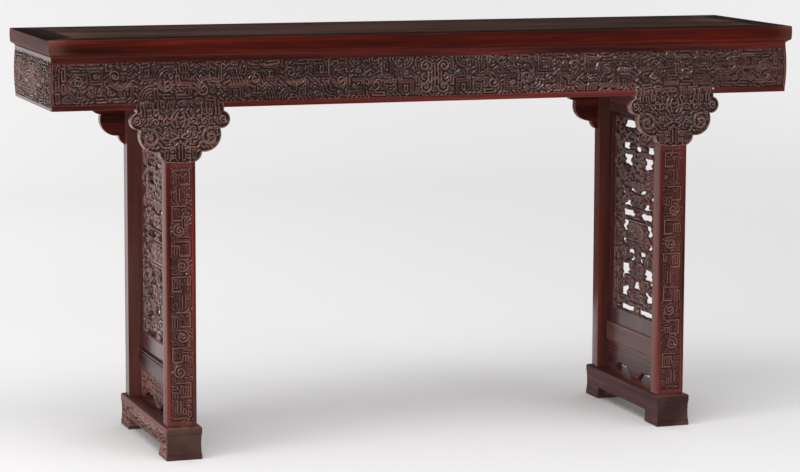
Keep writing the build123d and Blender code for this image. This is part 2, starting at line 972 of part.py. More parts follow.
def make_runners():
    """Runners that carry a front and a back leg, each on two pads."""
    end_view = Plane(origin=(-leg_x, 0, 0), x_dir=(1, 0, 0), z_dir=(0, -1, 0))
    cutout_length = runner_length - 2 * runner_pad_length
    for side, to_right in SIDES:
        with BuildPart() as runner:
            with BuildSketch(end_view):
                add(runner_profile(runner_width / 2))
            extrude(amount=runner_length / 2, both=True)
            with BuildSketch(Plane.YZ.offset(-leg_x)):
                add(runner_profile(runner_length / 2))
                with Locations((0, (runner_cutout_height - runner_cutout_round) / 2)):
                    RectangleRounded(
                        cutout_length,
                        runner_cutout_height + runner_cutout_round,
                        runner_cutout_round,
                        mode=Mode.SUBTRACT,
                    )
            extrude(amount=runner_width, both=True, mode=Mode.INTERSECT)
            for end in (-1, 1):
                block(
                    about(-leg_x, leg_foot_tenon_width),
                    about(end * leg_middle_y, leg_foot_tenon_thickness),
                    (runner_height - leg_foot_tenon_length - joint_gap, runner_height),
                    Mode.SUBTRACT,
                )
            flip(to_right, False)
        save(runner, f"{side}_runner")


os.makedirs("parts", exist_ok=True)
make_long_rails()
make_end_rails()
make_top_boards()
make_battens()
make_long_aprons()
make_end_aprons()
make_heads()
make_legs()
make_mid_stretchers()
make_top_stretchers()
make_openwork()
make_lower_panels()
make_runners()
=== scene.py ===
"""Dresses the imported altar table: moulded top, carved aprons, cloud heads and legs, pierced
end panels and runners, in procedural rosewood, on a pale studio floor.

Pieces are worked out in millimetres and written to their meshes in metres. X runs along the
length and Y across the depth, with the front at -Y, as in the frame.
"""

import math

import bmesh
import bpy
import numpy as np
from mathutils import Matrix, Vector


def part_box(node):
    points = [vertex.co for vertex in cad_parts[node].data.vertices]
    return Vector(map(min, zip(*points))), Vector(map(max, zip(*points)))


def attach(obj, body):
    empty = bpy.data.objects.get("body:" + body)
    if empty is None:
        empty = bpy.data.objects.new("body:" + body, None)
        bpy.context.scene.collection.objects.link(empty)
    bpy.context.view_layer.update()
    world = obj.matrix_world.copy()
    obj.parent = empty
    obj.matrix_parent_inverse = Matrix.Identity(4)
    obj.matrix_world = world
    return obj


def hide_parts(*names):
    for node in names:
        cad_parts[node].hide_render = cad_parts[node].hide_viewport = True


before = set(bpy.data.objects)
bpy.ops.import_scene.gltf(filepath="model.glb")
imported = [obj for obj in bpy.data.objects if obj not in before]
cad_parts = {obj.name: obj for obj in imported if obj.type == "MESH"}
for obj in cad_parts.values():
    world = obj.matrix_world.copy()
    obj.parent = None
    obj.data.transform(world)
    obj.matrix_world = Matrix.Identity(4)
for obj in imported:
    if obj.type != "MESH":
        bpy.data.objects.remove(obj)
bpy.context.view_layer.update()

bl_info = {
    "name": "Altar Table Dresser",
    "version": (1, 0, 0),
    "blender": (4, 5, 0),
    "location": "3D View > Sidebar > Altar Table",
    "description": "Builds the carved rosewood pieces of an altar table over its frame",
    "category": "Object",
}

# ---- Sizes in millimetres ----
#
# The boxes are read from the frame. Sizes written as numbers are those of details in them.


def box_mm(node):
    """Lowest and highest corner of a frame node in millimetres."""
    low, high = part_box(node)
    return np.array(low) * 1000, np.array(high) * 1000


RAIL_LOW, RAIL_HIGH = box_mm("top_front_rail")
APRON_LOW, APRON_HIGH = box_mm("front_apron")
HEAD_LOW, HEAD_HIGH = box_mm("front_left_spandrel_head")
LEG_LOW, LEG_HIGH = box_mm("front_left_leg")
MID_LOW, MID_HIGH = box_mm("left_mid_stretcher")
UPPER_LOW, UPPER_HIGH = box_mm("left_top_stretcher")
BOARD_LOW, BOARD_HIGH = box_mm("left_openwork_front_board")
LOWER_LOW, LOWER_HIGH = box_mm("left_lower_panel")
RUNNER_LOW, RUNNER_HIGH = box_mm("left_runner")

HALF_LENGTH = RAIL_HIGH[0]
HALF_DEPTH = -RAIL_LOW[1]
TABLE_TOP = RAIL_HIGH[2]
SLAB_UNDERSIDE = RAIL_LOW[2]
FRAME_WIDTH = 64.0

APRON_BULGE = 3.5
APRON_END = APRON_HIGH[0] - APRON_BULGE
APRON_FACE = -LEG_LOW[1]
APRON_BACK = -HEAD_HIGH[1]
APRON_UNDERSIDE = APRON_LOW[2]
APRON_BORDER_TOP = 14.5
APRON_BORDER_BOTTOM = 12.0
APRON_CORNER = 4.5
APRON_EASE = 2.4
APRON_SEAM = 0.12
NECK_BLEND = 3.0

LEG_X = -(LEG_LOW[0] + LEG_HIGH[0]) / 2
LEG_WIDTH = LEG_HIGH[0] - LEG_LOW[0]
LEG_INNER = -LEG_HIGH[1]
LEG_BORDER = 9.5
LEG_LIP = 1.2
LEG_EASE = 2.2
LEG_CORNER = 3.2
SHOULDER_RISE = 1.7
SHOULDER_HALF = 30.2

HEAD_FRONT = -HEAD_LOW[1]
HEAD_BOTTOM = HEAD_LOW[2]
HEAD_DROP = APRON_UNDERSIDE - HEAD_BOTTOM
HEAD_HALF = (HEAD_HIGH[0] - HEAD_LOW[0]) / 2
NECK_HALF = 95.0
NECK_LENGTH = 7.0
NECK_BARS = (47.0, 57.0, 77.0, 84.0)
HEAD_RIM = 3.6
HEAD_EASE = 1.6

RUNNER_TOP = RUNNER_HIGH[2]
RUNNER_BASE = 7.0
RUNNER_TOP_BAND = 12.0
RUNNER_WAIST = 1.8
RUNNER_CROWN = 4.0
RUNNER_EASE = 1.2
RUNNER_BORDER = 7.0
RUNNER_BORDER_TOP = 10.0
RUNNER_COARSER = 1.15
PAD_LENGTH = 71.0
CUTOUT_HEIGHT = 26.0
CUTOUT_BEND = 6.0
CUTOUT_BORDER = 6.0
CUTOUT_OVERLAP = 2.0
STRETCHER_THICKNESS = 18.0
STRETCHER_EASE = 0.8
BEAD_RADIUS = 3.5
BEAD_COUNT = 2
PANEL_THICKNESS = BOARD_HIGH[0] - BOARD_LOW[0]
FIELD_SIDE = LEG_INNER - 35.0
FIELD_BOTTOM = 224.0
FIELD_TOP = 671.0
FIELD_MARGIN = 2.0
FRET_DEPTH = 18.0
OPENWORK_COARSER = 1.6
OPENWORK_EASE = 2.6
LOWER_BORDER = 5.0
LOWER_SIDE_BORDER = 12.0
LOWER_EASE = 1.5

# Where mirrored pieces stand, with their sign along the length and across the depth
CORNERS = [
    ("front_left", 1, 1),
    ("front_right", -1, 1),
    ("back_left", 1, -1),
    ("back_right", -1, -1),
]
SIDES = [("left", 1), ("right", -1)]

# How much of the frame's apron swell the carved face keeps
FACE_SWELL = 0.65 * APRON_BULGE

# The mark of plain surfaces, above that of the highest carved ridge
FLAT = 1.5

# Edges that turn by more than this stay sharp
SMOOTH_ANGLE = math.radians(38)


# ---- Settings ----


FACTOR = {"subtype": "FACTOR", "min": 0, "max": 1}
COLOUR = {"subtype": "COLOR", "size": 3, "min": 0, "max": 1}


class ALTAR_PG_carving(bpy.types.PropertyGroup):
    """Sizes of the carving."""

    apron_step: bpy.props.FloatProperty(
        name="Apron grid", description="Mesh spacing on the aprons", default=0.0015, unit="LENGTH"
    )
    leg_step: bpy.props.FloatProperty(
        name="Leg grid", description="Mesh spacing on legs and heads", default=0.0013, unit="LENGTH"
    )
    panel_step: bpy.props.FloatProperty(
        name="Panel grid", description="Mesh spacing on the panels", default=0.0016, unit="LENGTH"
    )
    cell: bpy.props.FloatProperty(
        name="Cell", description="Spacing of neighbouring strokes", default=0.0064, unit="LENGTH"
    )
    stroke: bpy.props.FloatProperty(
        name="Stroke", description="Width of a carved ridge", default=0.0052, unit="LENGTH"
    )
    depth: bpy.props.FloatProperty(
        name="Depth", description="Depth of the carved ground", default=0.0034, unit="LENGTH"
    )
    openwork_depth: bpy.props.FloatProperty(
        name="Openwork depth", description="Depth of the openwork's carving",
        default=0.0036, unit="LENGTH"
    )
    seed: bpy.props.IntProperty(
        name="Seed", description="Choice and order of the scroll motifs", default=7, min=0
    )


class ALTAR_PG_wood(bpy.types.PropertyGroup):
    """Colours and gloss of the rosewood."""

    dark: bpy.props.FloatVectorProperty(
        name="Dark grain", description="Colour of the dark streaks",
        default=(0.0075, 0.0027, 0.0022), **COLOUR
    )
    edge: bpy.props.FloatVectorProperty(
        name="Moulded edge", description="Colour of the top's moulded edge",
        default=(0.067, 0.0062, 0.0026), **COLOUR
    )
    flat: bpy.props.FloatVectorProperty(
        name="Plain flats", description="Colour of the plain faces of aprons, heads and legs",
        default=(0.098, 0.0135, 0.0104), **COLOUR
    )
    carving: bpy.props.FloatVectorProperty(
        name="Carving", description="Colour of the carving on aprons and heads",
        default=(0.0640, 0.0255, 0.0205), **COLOUR
    )
    leg_carving: bpy.props.FloatVectorProperty(
        name="Leg carving", description="Colour of the carving on the legs",
        default=(0.0620, 0.0150, 0.0118), **COLOUR
    )
    # How far the carved ground is darkened as painted shade.
    shade: bpy.props.FloatProperty(
        name="Ground shade", description="How dark the carved ground is", default=0.86, **FACTOR
    )
    top: bpy.props.FloatVectorProperty(
        name="Table top", description="Colour of the upper faces of the top",
        default=(0.0112, 0.0064, 0.0050), **COLOUR
    )
    # The dark colour that the carved grounds are painted towards, as painted shade.
    ground: bpy.props.FloatVectorProperty(
        name="Carved ground", description="Colour of the cut ground",
        default=(0.0210, 0.0056, 0.0046), **COLOUR
    )
    end_frame: bpy.props.FloatVectorProperty(
        name="End frames",
        description="Colour of the plain faces of stretchers, panels and runners",
        default=(0.074, 0.0220, 0.0215), **COLOUR
    )
    # A darker colour for the runners' end faces, which is painted shade.
    runner_end_painted_shade: bpy.props.FloatVectorProperty(
        name="Runner ends", description="Colour of the runners' end faces",
        default=(0.0085, 0.0035, 0.0042), **COLOUR
    )
    openwork: bpy.props.FloatVectorProperty(
        name="Panel carving",
        description="Colour of the carving on pierced boards and lower panels",
        default=(0.134, 0.0430, 0.0340), **COLOUR
    )
    # The runners' carving is painted lighter than the other carving, as painted light from the
    # left.
    runner_carving_painted_light: bpy.props.FloatVectorProperty(
        name="Runner carving", description="Colour of the carving on the runners",
        default=(0.175, 0.0950, 0.0800), **COLOUR
    )
    # Rubbed wear on edges, and also the painted highlight on the crests of carved ridges.
    wear_and_highlight: bpy.props.FloatVectorProperty(
        name="Worn edge", description="Colour of rubbed edges and ridges",
        default=(0.230, 0.115, 0.088), **COLOUR
    )
    gloss: bpy.props.FloatProperty(
        name="Roughness", description="Roughness of the legs and pierced boards",
        default=0.17, **FACTOR
    )


class ALTAR_PG_studio(bpy.types.PropertyGroup):
    """Floor, backdrop and lights."""

    floor: bpy.props.FloatVectorProperty(
        name="Floor", description="Colour of floor and backdrop",
        default=(0.80, 0.79, 0.79), **COLOUR
    )
    top_power: bpy.props.FloatProperty(
        name="Top light", description="Power of the overhead softbox", default=60.0, unit="POWER"
    )
    side_power: bpy.props.FloatProperty(
        name="Side light", description="Power of the left softbox", default=72.0, unit="POWER"
    )
    fill_power: bpy.props.FloatProperty(
        name="Fill light", description="Power of the right front softbox",
        default=25.0, unit="POWER"
    )
    key_power: bpy.props.FloatProperty(
        name="Key light", description="Power of the left front softbox",
        default=130.0, unit="POWER"
    )
    wash_power: bpy.props.FloatProperty(
        name="Backdrop light", description="Power of each light on the backdrop",
        default=92.0, unit="POWER"
    )
    ambient: bpy.props.FloatProperty(
        name="Ambient", description="Strength of the even room light", default=0.79, min=0
    )


# ---- Carved relief ----


def arc_points(start, through, end, count=14):
    """Points on the circle through three places, from the first to the last."""
    (ax, ay), (bx, by), (cx, cy) = start, through, end
    scale = 2 * (ax * (by - cy) + bx * (cy - ay) + cx * (ay - by))
    a2, b2, c2 = ax * ax + ay * ay, bx * bx + by * by, cx * cx + cy * cy
    x = (a2 * (by - cy) + b2 * (cy - ay) + c2 * (ay - by)) / scale
    y = (a2 * (cx - bx) + b2 * (ax - cx) + c2 * (bx - ax)) / scale
    first = math.atan2(ay - y, ax - x)
    turn = (math.atan2(cy - y, cx - x) - first) % (2 * math.pi)
    middle = (math.atan2(by - y, bx - x) - first) % (2 * math.pi)
    if middle > turn:
        turn -= 2 * math.pi
    angles = first + turn * np.linspace(0, 1, count)
    radius = math.hypot(ax - x, ay - y)
    return [(x + radius * math.cos(a), y + radius * math.sin(a)) for a in angles]


def scroll_points(x, y, radius, core, turns, start, hand):
    """A round scroll that winds from its rim in to its core."""
    share = np.linspace(0, 1, int(14 * turns) + 2)
    reach = radius + (core - radius) * share
    angle = start + hand * 2 * math.pi * turns * share
    return np.column_stack((x + reach * np.cos(angle), y + reach * np.sin(angle)))


def square_scroll_points(box, pitch):
    """A squared scroll that winds in from the lower left corner of a box."""
    left, low, right, high = box
    points = [(left, low), (left, high)]
    while right - left > 0.5 * pitch and high - low > 0.5 * pitch:
        points += [(right, high), (right, low)]
        left += pitch
        high -= pitch
        if right - left < 0.5 * pitch or high - low < 0.5 * pitch:
            break
        points += [(left, low), (left, high)]
        right -= pitch
        low += pitch
    return points


class Relief:
    """A carved field in millimetres. Its level runs from 0 at the ground to 1 at the surface."""

    def __init__(self, width, height, step, ground=0.0, finer=1.0):
        self.x = np.linspace(0, width, round(width / step) + 1)
        self.y = np.linspace(0, height, round(height / (step * finer)) + 1)
        self.level = np.full((len(self.y), len(self.x)), ground)

    def near(self, points, reach):
        """The part of the field within reach of a line, and its distance from the line."""
        points = np.asarray(points, float)
        low, high = points.min(axis=0) - reach, points.max(axis=0) + reach
        columns = slice(*np.searchsorted(self.x, (low[0], high[0])))
        rows = slice(*np.searchsorted(self.y, (low[1], high[1])))
        x, y = np.meshgrid(self.x[columns], self.y[rows])
        distance = np.full(x.shape, 1e6)
        for start, end in zip(points, points[1:]):
            run = end - start
            along = ((x - start[0]) * run[0] + (y - start[1]) * run[1]) / max(run @ run, 1e-9)
            along = np.clip(along, 0, 1)
            gap = np.hypot(x - start[0] - along * run[0], y - start[1] - along * run[1])
            distance = np.minimum(distance, gap)
        return (rows, columns), distance

    def ridge(self, points, width, height=1.0):
        """A rounded ridge along a line."""
        area, distance = self.near(points, width / 2)
        crest = height * np.clip(1 - (2 * distance / width) ** 2, 0, 1) ** 0.7
        self.level[area] = np.maximum(self.level[area], crest)

    def ribbon(self, points, width):
        """A broad band with a raised line along both of its edges."""
        area, distance = self.near(points, width / 2)
        share = 2 * distance / width
        crest = 0.62 + 0.38 * np.exp(-(((share - 0.72) / 0.16) ** 2))
        crest = crest * np.clip((1 - share) / 0.12, 0, 1)
        self.level[area] = np.maximum(self.level[area], crest)

    def ball(self, x, y, radius, height=1.0):
        """A round bead."""
        self.ridge([(x, y), (x, y)], 2 * radius, height)

    def at(self, x, y):
        """The level at some places."""
        columns = np.clip(np.searchsorted(self.x, x), 0, len(self.x) - 1)
        rows = np.clip(np.searchsorted(self.y, y), 0, len(self.y) - 1)
        return self.level[rows, columns]

    def mirrored(self):
        """The level with its mirror image on the left of it."""
        return np.hstack((self.level[:, :0:-1], self.level))


# ---- Scroll motifs that fill the spaces of a carved field ----
#
# A motif is drawn in cells, in a box that is wide by tall, and returned as a list of lines.
# All take the same arguments, though few draw from the random numbers.


def square_scroll(wide, tall, rng):
    """A squared scroll."""
    return [square_scroll_points((0, 0, wide, tall), 1.0)]


def round_scroll(wide, tall, rng):
    """A round scroll that fills its box."""
    turns = max(0.45 * min(wide, tall) + 0.35, 0.8)
    scroll = scroll_points(0, 0, 0.5, 0.04, turns, rng.random() * 6.28, 1)
    return [scroll * (wide, tall) + (wide / 2, tall / 2)]


def twin_scroll(wide, tall, rng):
    """Two scrolls on one stem, curled the same way or opposite ways."""
    radius = min(tall / 2, wide / 4 + 0.3)
    turns = max(0.9 * radius, 0.75)
    left = scroll_points(radius, radius, radius, 0.15, turns, math.pi / 2, 1)
    right = scroll_points(wide - radius, radius, radius, 0.15, turns, math.pi / 2, -1)
    if rng.random() < 0.5:
        right[:, 1] = 2 * radius - right[:, 1]
    return [np.vstack((left[::-1], right)) + (0, (tall - 2 * radius) / 2)]


def curled_hook(wide, tall, rng):
    """A square bend that ends in a curl."""
    radius = 0.3 * min(wide, tall)
    curl = scroll_points(wide - radius, radius, radius, 0.1, 1.0, 0.0, -1)
    return [np.vstack(([(0, 0), (0, tall), (wide, tall), (wide, radius)], curl))]


def comb(wide, tall, rng):
    """Upright bars under a cap."""
    teeth = max(round(wide / 0.9), 1)
    bars = [[(wide * k / teeth, 0), (wide * k / teeth, tall)] for k in range(teeth + 1)]
    return bars + [[(0, tall), (wide, tall)]]


def nested_arcs(wide, tall, rng):
    """Quarter rings about one corner."""
    lines = []
    angles = np.linspace(0, math.pi / 2, 9)
    for k in range(int(min(wide, tall)) + 1):
        share = 1 - k * 0.95 / min(wide, tall)
        if share > 0.2:
            across, up = wide * share * np.cos(angles), tall * share * np.sin(angles)
            lines.append(np.column_stack((across, up)))
    return lines


def leaf_spray(wide, tall, rng):
    """A pointed leaf with its midrib."""
    swell = 0.24
    lines = [[(0, 0), (wide, tall)]]
    for side in (-1, 1):
        bow = (wide / 2 - side * swell * tall, tall / 2 + side * swell * wide)
        lines.append(arc_points((0, 0), bow, (wide, tall), 8))
    return lines


def feathers(wide, tall, rng):
    """Curved strokes side by side."""
    lines = []
    count = max(round(wide / 1.0), 1)
    for k in range(count + 1):
        x = wide * k / count
        lean = 0.35 * tall * (0.5 + 0.5 * k / count)
        lines.append(arc_points((x, 0), (x - 0.25 * lean, tall / 2), (x - lean, tall), 6))
    return lines


def hairpin(wide, tall, rng):
    """A narrow loop that is open at one corner."""
    return [[(0, 0.2 * tall), (0, tall), (wide, tall), (wide, 0), (0.25 * wide, 0)]]


def paired_bars(wide, tall, rng):
    """Two bars side by side along the longer side."""
    if wide > tall:
        return [[(0, 0), (wide, 0)], [(0, tall), (0.7 * wide, tall)]]
    return [[(0, 0), (0, tall)], [(wide, 0.3 * tall), (wide, tall)]]


# Motifs and how often each is chosen
SCROLL_MOTIFS = [
    (square_scroll, 2),
    (round_scroll, 8),
    (twin_scroll, 7),
    (curled_hook, 5),
    (comb, 1),
    (nested_arcs, 5),
    (leaf_spray, 1),
    (feathers, 3),
]
FRET_MOTIFS = [
    (square_scroll, 6),
    (comb, 4),
    (curled_hook, 4),
    (round_scroll, 2),
    (twin_scroll, 1),
]
NARROW_MOTIFS = [(hairpin, 2), (paired_bars, 1)]

# Sizes of the patches that motifs are drawn in, in cells. Those listed twice are commoner.
PATCHES = [(3, 3), (4, 3), (3, 4), (5, 3), (6, 3), (4, 4)]
PATCHES += [(3, 3), (4, 4), (5, 4), (5, 5), (4, 2), (6, 4)]

# Below this level the ground counts as bare
BARE = 0.05


def choose_motif(motifs, rng):
    """One motif of a weighted list."""
    weights = np.array([weight for _, weight in motifs], float)
    return motifs[rng.choice(len(motifs), p=weights / weights.sum())][0]


def place_motif(lines, box, rng):
    """Flips, turns a little and places a motif's lines in their box."""
    left, low, right, high, pitch = box
    flips = rng.choice((-1, 1), 2)
    tilt = rng.normal(0, 0.07)
    turn = np.array(((math.cos(tilt), math.sin(tilt)), (-math.sin(tilt), math.cos(tilt))))
    middle = np.array(((left + right) / 2, (low + high) / 2))
    size = np.array((right - left, high - low)) / pitch
    return [((np.array(line) - size / 2) * flips) @ turn * pitch + middle for line in lines]


def free_patch(free, row, column, rng):
    """The width and height of a patch of free cells from one cell on."""
    rows, columns = free.shape
    wide, tall = PATCHES[rng.integers(len(PATCHES))]
    wide = min(wide, columns - column)
    while wide > 1 and not free[row, column:column + wide].all():
        wide -= 1
    tall = min(tall, rows - row)
    while tall > 1 and not free[row:row + tall, column:column + wide].all():
        tall -= 1
    return wide, tall


def fill_with_scrolls(relief, cell, stroke, seed, allowed, motifs=SCROLL_MOTIFS):
    """Packs scroll motifs into the free cells of a field, and short strokes into what is left."""
    rng = np.random.default_rng(seed)
    columns = round(relief.x[-1] / cell)
    rows = round(relief.y[-1] / cell)
    dx, dy = relief.x[-1] / columns, relief.y[-1] / rows
    x, y = np.meshgrid((np.arange(columns) + 0.5) * dx, (np.arange(rows) + 0.5) * dy)
    free = allowed(x, y) & (relief.at(x, y) < BARE)
    for row, column in np.ndindex(rows, columns):
        if not free[row, column]:
            continue
        wide, tall = free_patch(free, row, column, rng)
        free[row:row + tall, column:column + wide] = False
        left, low = (column + 0.5) * dx, (row + 0.5) * dy
        right, high = left + (wide - 1) * dx, low + (tall - 1) * dy
        height = rng.uniform(0.75, 1.0)
        if wide == 1 or tall == 1:
            carve_commas(relief, (left, low), (right, high), stroke, rng)
            continue
        motif = choose_motif(NARROW_MOTIFS if min(wide, tall) == 2 else motifs, rng)
        lines = motif(wide - 1, (high - low) / dx, rng)
        for line in place_motif(lines, (left, low, right, high, dx), rng):
            relief.ridge(line, stroke * rng.uniform(0.92, 1.08), height)
    fill_gaps(relief, cell, stroke, rng, allowed)


def carve_commas(relief, start, end, stroke, rng):
    """Short slanted strokes in a row between two places."""
    start, end = np.array(start), np.array(end)
    length = float(np.abs(end - start).sum())
    count = max(round(length / (1.9 * stroke)), 1)
    lean = rng.choice((-1, 1))
    for k in range(count):
        middle = start + (end - start) * (k + 0.5) / count
        reach = 0.5 * stroke * np.array((1.0, lean * rng.uniform(0.5, 1.0)))
        relief.ridge([middle - reach, middle + reach], stroke, rng.uniform(0.8, 1.0))


def fill_gaps(relief, cell, stroke, rng, allowed):
    """Puts short strokes where the ground is still bare."""
    step = 0.5 * cell
    x, y = np.meshgrid(np.arange(step, relief.x[-1], step), np.arange(step, relief.y[-1], step))
    inside = allowed(x, y)
    for spot in rng.permutation(np.column_stack((x[inside], y[inside]))):
        angle = rng.random() * math.pi
        tip = spot + 0.45 * cell * np.array((math.cos(angle), math.sin(angle)))
        area, distance = relief.near([spot, tip], 0.40 * cell)
        close = relief.level[area][distance < 0.40 * cell]
        if close.max(initial=0.0) < 0.35:
            relief.ridge([spot, tip], 0.9 * stroke, rng.uniform(0.7, 0.95))


# ---- Meshes ----


def new_object(name, data):
    """An object in the scene."""
    thing = bpy.data.objects.new(name, data)
    bpy.context.scene.collection.objects.link(thing)
    return thing


def new_piece(node, points, faces, material, carve=None):
    """A closed piece from points in millimetres, which stands for a frame node. On a carved
    piece, carve is the level of the relief at each point."""
    name = f"{node}_dressed" if carve is None else f"{node}_carved"
    mesh = bpy.data.meshes.new(name)
    mesh.from_pydata((np.asarray(points) / 1000).tolist(), [], faces)
    if carve is not None:
        layer = mesh.attributes.new("carve", "FLOAT", "POINT")
        layer.data.foreach_set("value", np.asarray(carve, np.float32).ravel())
    work = bmesh.new()
    work.from_mesh(mesh)
    bmesh.ops.recalc_face_normals(work, faces=work.faces)
    work.to_mesh(mesh)
    work.free()
    mesh.polygons.foreach_set("use_smooth", np.ones(len(mesh.polygons), bool))
    mesh.set_sharp_from_angle(angle=SMOOTH_ANGLE)
    mesh.materials.append(material)
    piece = new_object(name, mesh)
    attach(piece, "root")
    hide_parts(node)


def new_pair(name, points, faces, material, carve=None):
    """A piece of the left end, and its mirror image at the right end."""
    for side, turn in SIDES:
        new_piece(f"{side}_{name}", points * (turn, 1, 1), faces, material, carve)


def new_four(name, points, faces, material, carve):
    """A piece of the front left corner, and its mirror images at the other corners."""
    for corner, turn, flip in CORNERS:
        new_piece(f"{corner}_{name}", points * (turn, flip, 1), faces, material, carve)


def in_leg_frame(flat):
    """Points of a board (across, up, depth) in their place in the left leg frame."""
    return np.column_stack((flat[:, 2] - LEG_X, flat[:, 0], flat[:, 1]))


def loft_faces(rings, size):
    """Faces of a closed loft through rings of points, with a cap at both ends."""
    faces = []
    for ring in range(rings - 1):
        base = ring * size
        for k in range(size):
            after = (k + 1) % size
            faces.append((base + k, base + after, base + size + after, base + size + k))
    faces.append(tuple(range(size)))
    faces.append(tuple(range((rings - 1) * size, rings * size)))
    return faces


def outline_field(outline, x, y):
    """Distance of places from an outline, the nearest places on it, and which are inside."""
    distance = np.full(x.shape, 1e6)
    near_x, near_y = x.copy(), y.copy()
    inside = np.zeros(x.shape, bool)
    for (x0, y0), (x1, y1) in outline:
        run_x, run_y = x1 - x0, y1 - y0
        along = ((x - x0) * run_x + (y - y0) * run_y) / max(run_x**2 + run_y**2, 1e-9)
        along = np.clip(along, 0, 1)
        on_x, on_y = x0 + along * run_x, y0 + along * run_y
        gap = np.hypot(x - on_x, y - on_y)
        closer = gap < distance
        distance[closer] = gap[closer]
        near_x[closer] = on_x[closer]
        near_y[closer] = on_y[closer]
        if y0 != y1:
            crossing = x0 + (y - y0) * run_x / run_y
            inside ^= ((y0 > y) != (y1 > y)) & (crossing > x)
    return distance, near_x, near_y, inside


def closed_outline(points):
    """The segments of a closed line of points."""
    return list(zip(points, points[1:] + points[:1]))


class CutBoard:
    """A grid cut to an outline, from which a board with two worked faces is made. Where the
    board grows over its outline, its openings are that much smaller: with a squeeze below 1
    they lose more of their width than of their height, and with one above 1 less."""

    def __init__(self, xs, ys, outline, growth=None, squeeze=1.0):
        self.x, self.y = np.meshgrid(xs, ys)
        step = xs[1] - xs[0]
        squeezed = [((x0 * squeeze, y0), (x1 * squeeze, y1)) for (x0, y0), (x1, y1) in outline]
        distance, near_x, near_y, inside = outline_field(squeezed, self.x * squeeze, self.y)
        near_x = near_x / squeeze
        depth = np.where(inside, distance, -distance)
        if growth is not None:
            depth = depth + growth(self.x, self.y)
            slope_y, slope_x = np.gradient(depth, ys, xs)
            steep = np.maximum(np.hypot(slope_x, slope_y), 0.5 * min(squeeze, 1))
            depth = depth / steep
            shift = np.where(np.abs(depth) < step, -depth / steep, 0)
            near_x, near_y = self.x + shift * slope_x, self.y + shift * slope_y
        usable = depth > -0.5 * step
        cells = usable[:-1, :-1] & usable[1:, :-1] & usable[:-1, 1:] & usable[1:, 1:]
        whole = depth > 0
        cells &= whole[:-1, :-1] | whole[1:, :-1] | whole[:-1, 1:] | whole[1:, 1:]
        self.cells = cells
        padded = np.pad(cells, 1)
        corners = np.stack((padded[:-1, :-1], padded[:-1, 1:], padded[1:, :-1], padded[1:, 1:]))
        self.used = corners.any(axis=0)
        rim = self.used & ~corners.all(axis=0)
        self.rim = rim
        self.distance = np.where(rim, 0, np.maximum(depth, 0))
        self.x = np.where(rim, near_x, self.x)
        self.y = np.where(rim, near_y, self.y)

    def build(self, front, back):
        """Points (across, along, depth) and faces of the board between two depths."""
        number = np.full(self.used.shape, -1)
        number[self.used] = np.arange(self.used.sum())
        total = int(self.used.sum())
        here = self.used
        flat = np.column_stack((self.x[here], self.y[here]))
        points = np.vstack(
            (np.column_stack((flat, front[here])), np.column_stack((flat, back[here])))
        )
        rows, columns = np.nonzero(self.cells)
        a, b = number[rows, columns], number[rows, columns + 1]
        c, d = number[rows + 1, columns + 1], number[rows + 1, columns]
        faces = np.column_stack((a, b, c, d)).tolist()
        faces += (np.column_stack((d, c, b, a)) + total).tolist()
        edges = {}
        for quad in np.column_stack((a, b, c, d)).tolist():
            for k in range(4):
                edge = (quad[k], quad[(k + 1) % 4])
                if edge[::-1] in edges:
                    del edges[edge[::-1]]
                else:
                    edges[edge] = True
        faces += [(end, start, start + total, end + total) for start, end in edges]
        return points, faces, here


def rounded_drop(distance, radius):
    """How far a rounded edge falls below the face at a distance in from the edge."""
    share = np.clip(1 - distance / radius, 0, 1)
    return radius * (1 - np.sqrt(1 - share**2))


def carve_outer_face(board, level, carved, depth, half, radius):
    """A board of the left leg frame with relief where its outer face is carved: its points,
    its faces and its marks."""
    sunk = np.where(carved, depth * (1 - level), 0)
    fall = rounded_drop(board.distance, radius)
    flat, faces, here = board.build(-half + sunk + fall, half - fall)
    marks = np.where(carved, level, FLAT)[here]
    return in_leg_frame(flat), faces, np.concatenate((marks, np.full(here.sum(), FLAT)))


# ---- Materials ----


class Value:
    """A number that varies over a surface. Sums on it add Math nodes to its sheet."""

    def __init__(self, sheet, socket):
        self.sheet = sheet
        self.socket = socket

    def math(self, operation, first, second):
        """The result of a Math node."""
        return self.sheet.add("ShaderNodeMath", {"operation": operation}, {0: first, 1: second})

    def __add__(self, other):
        return self.math("ADD", self, other)

    __radd__ = __add__

    def __sub__(self, other):
        return self.math("SUBTRACT", self, other)

    def __rsub__(self, other):
        return self.math("SUBTRACT", other, self)

    def __mul__(self, other):
        return self.math("MULTIPLY", self, other)

    __rmul__ = __mul__


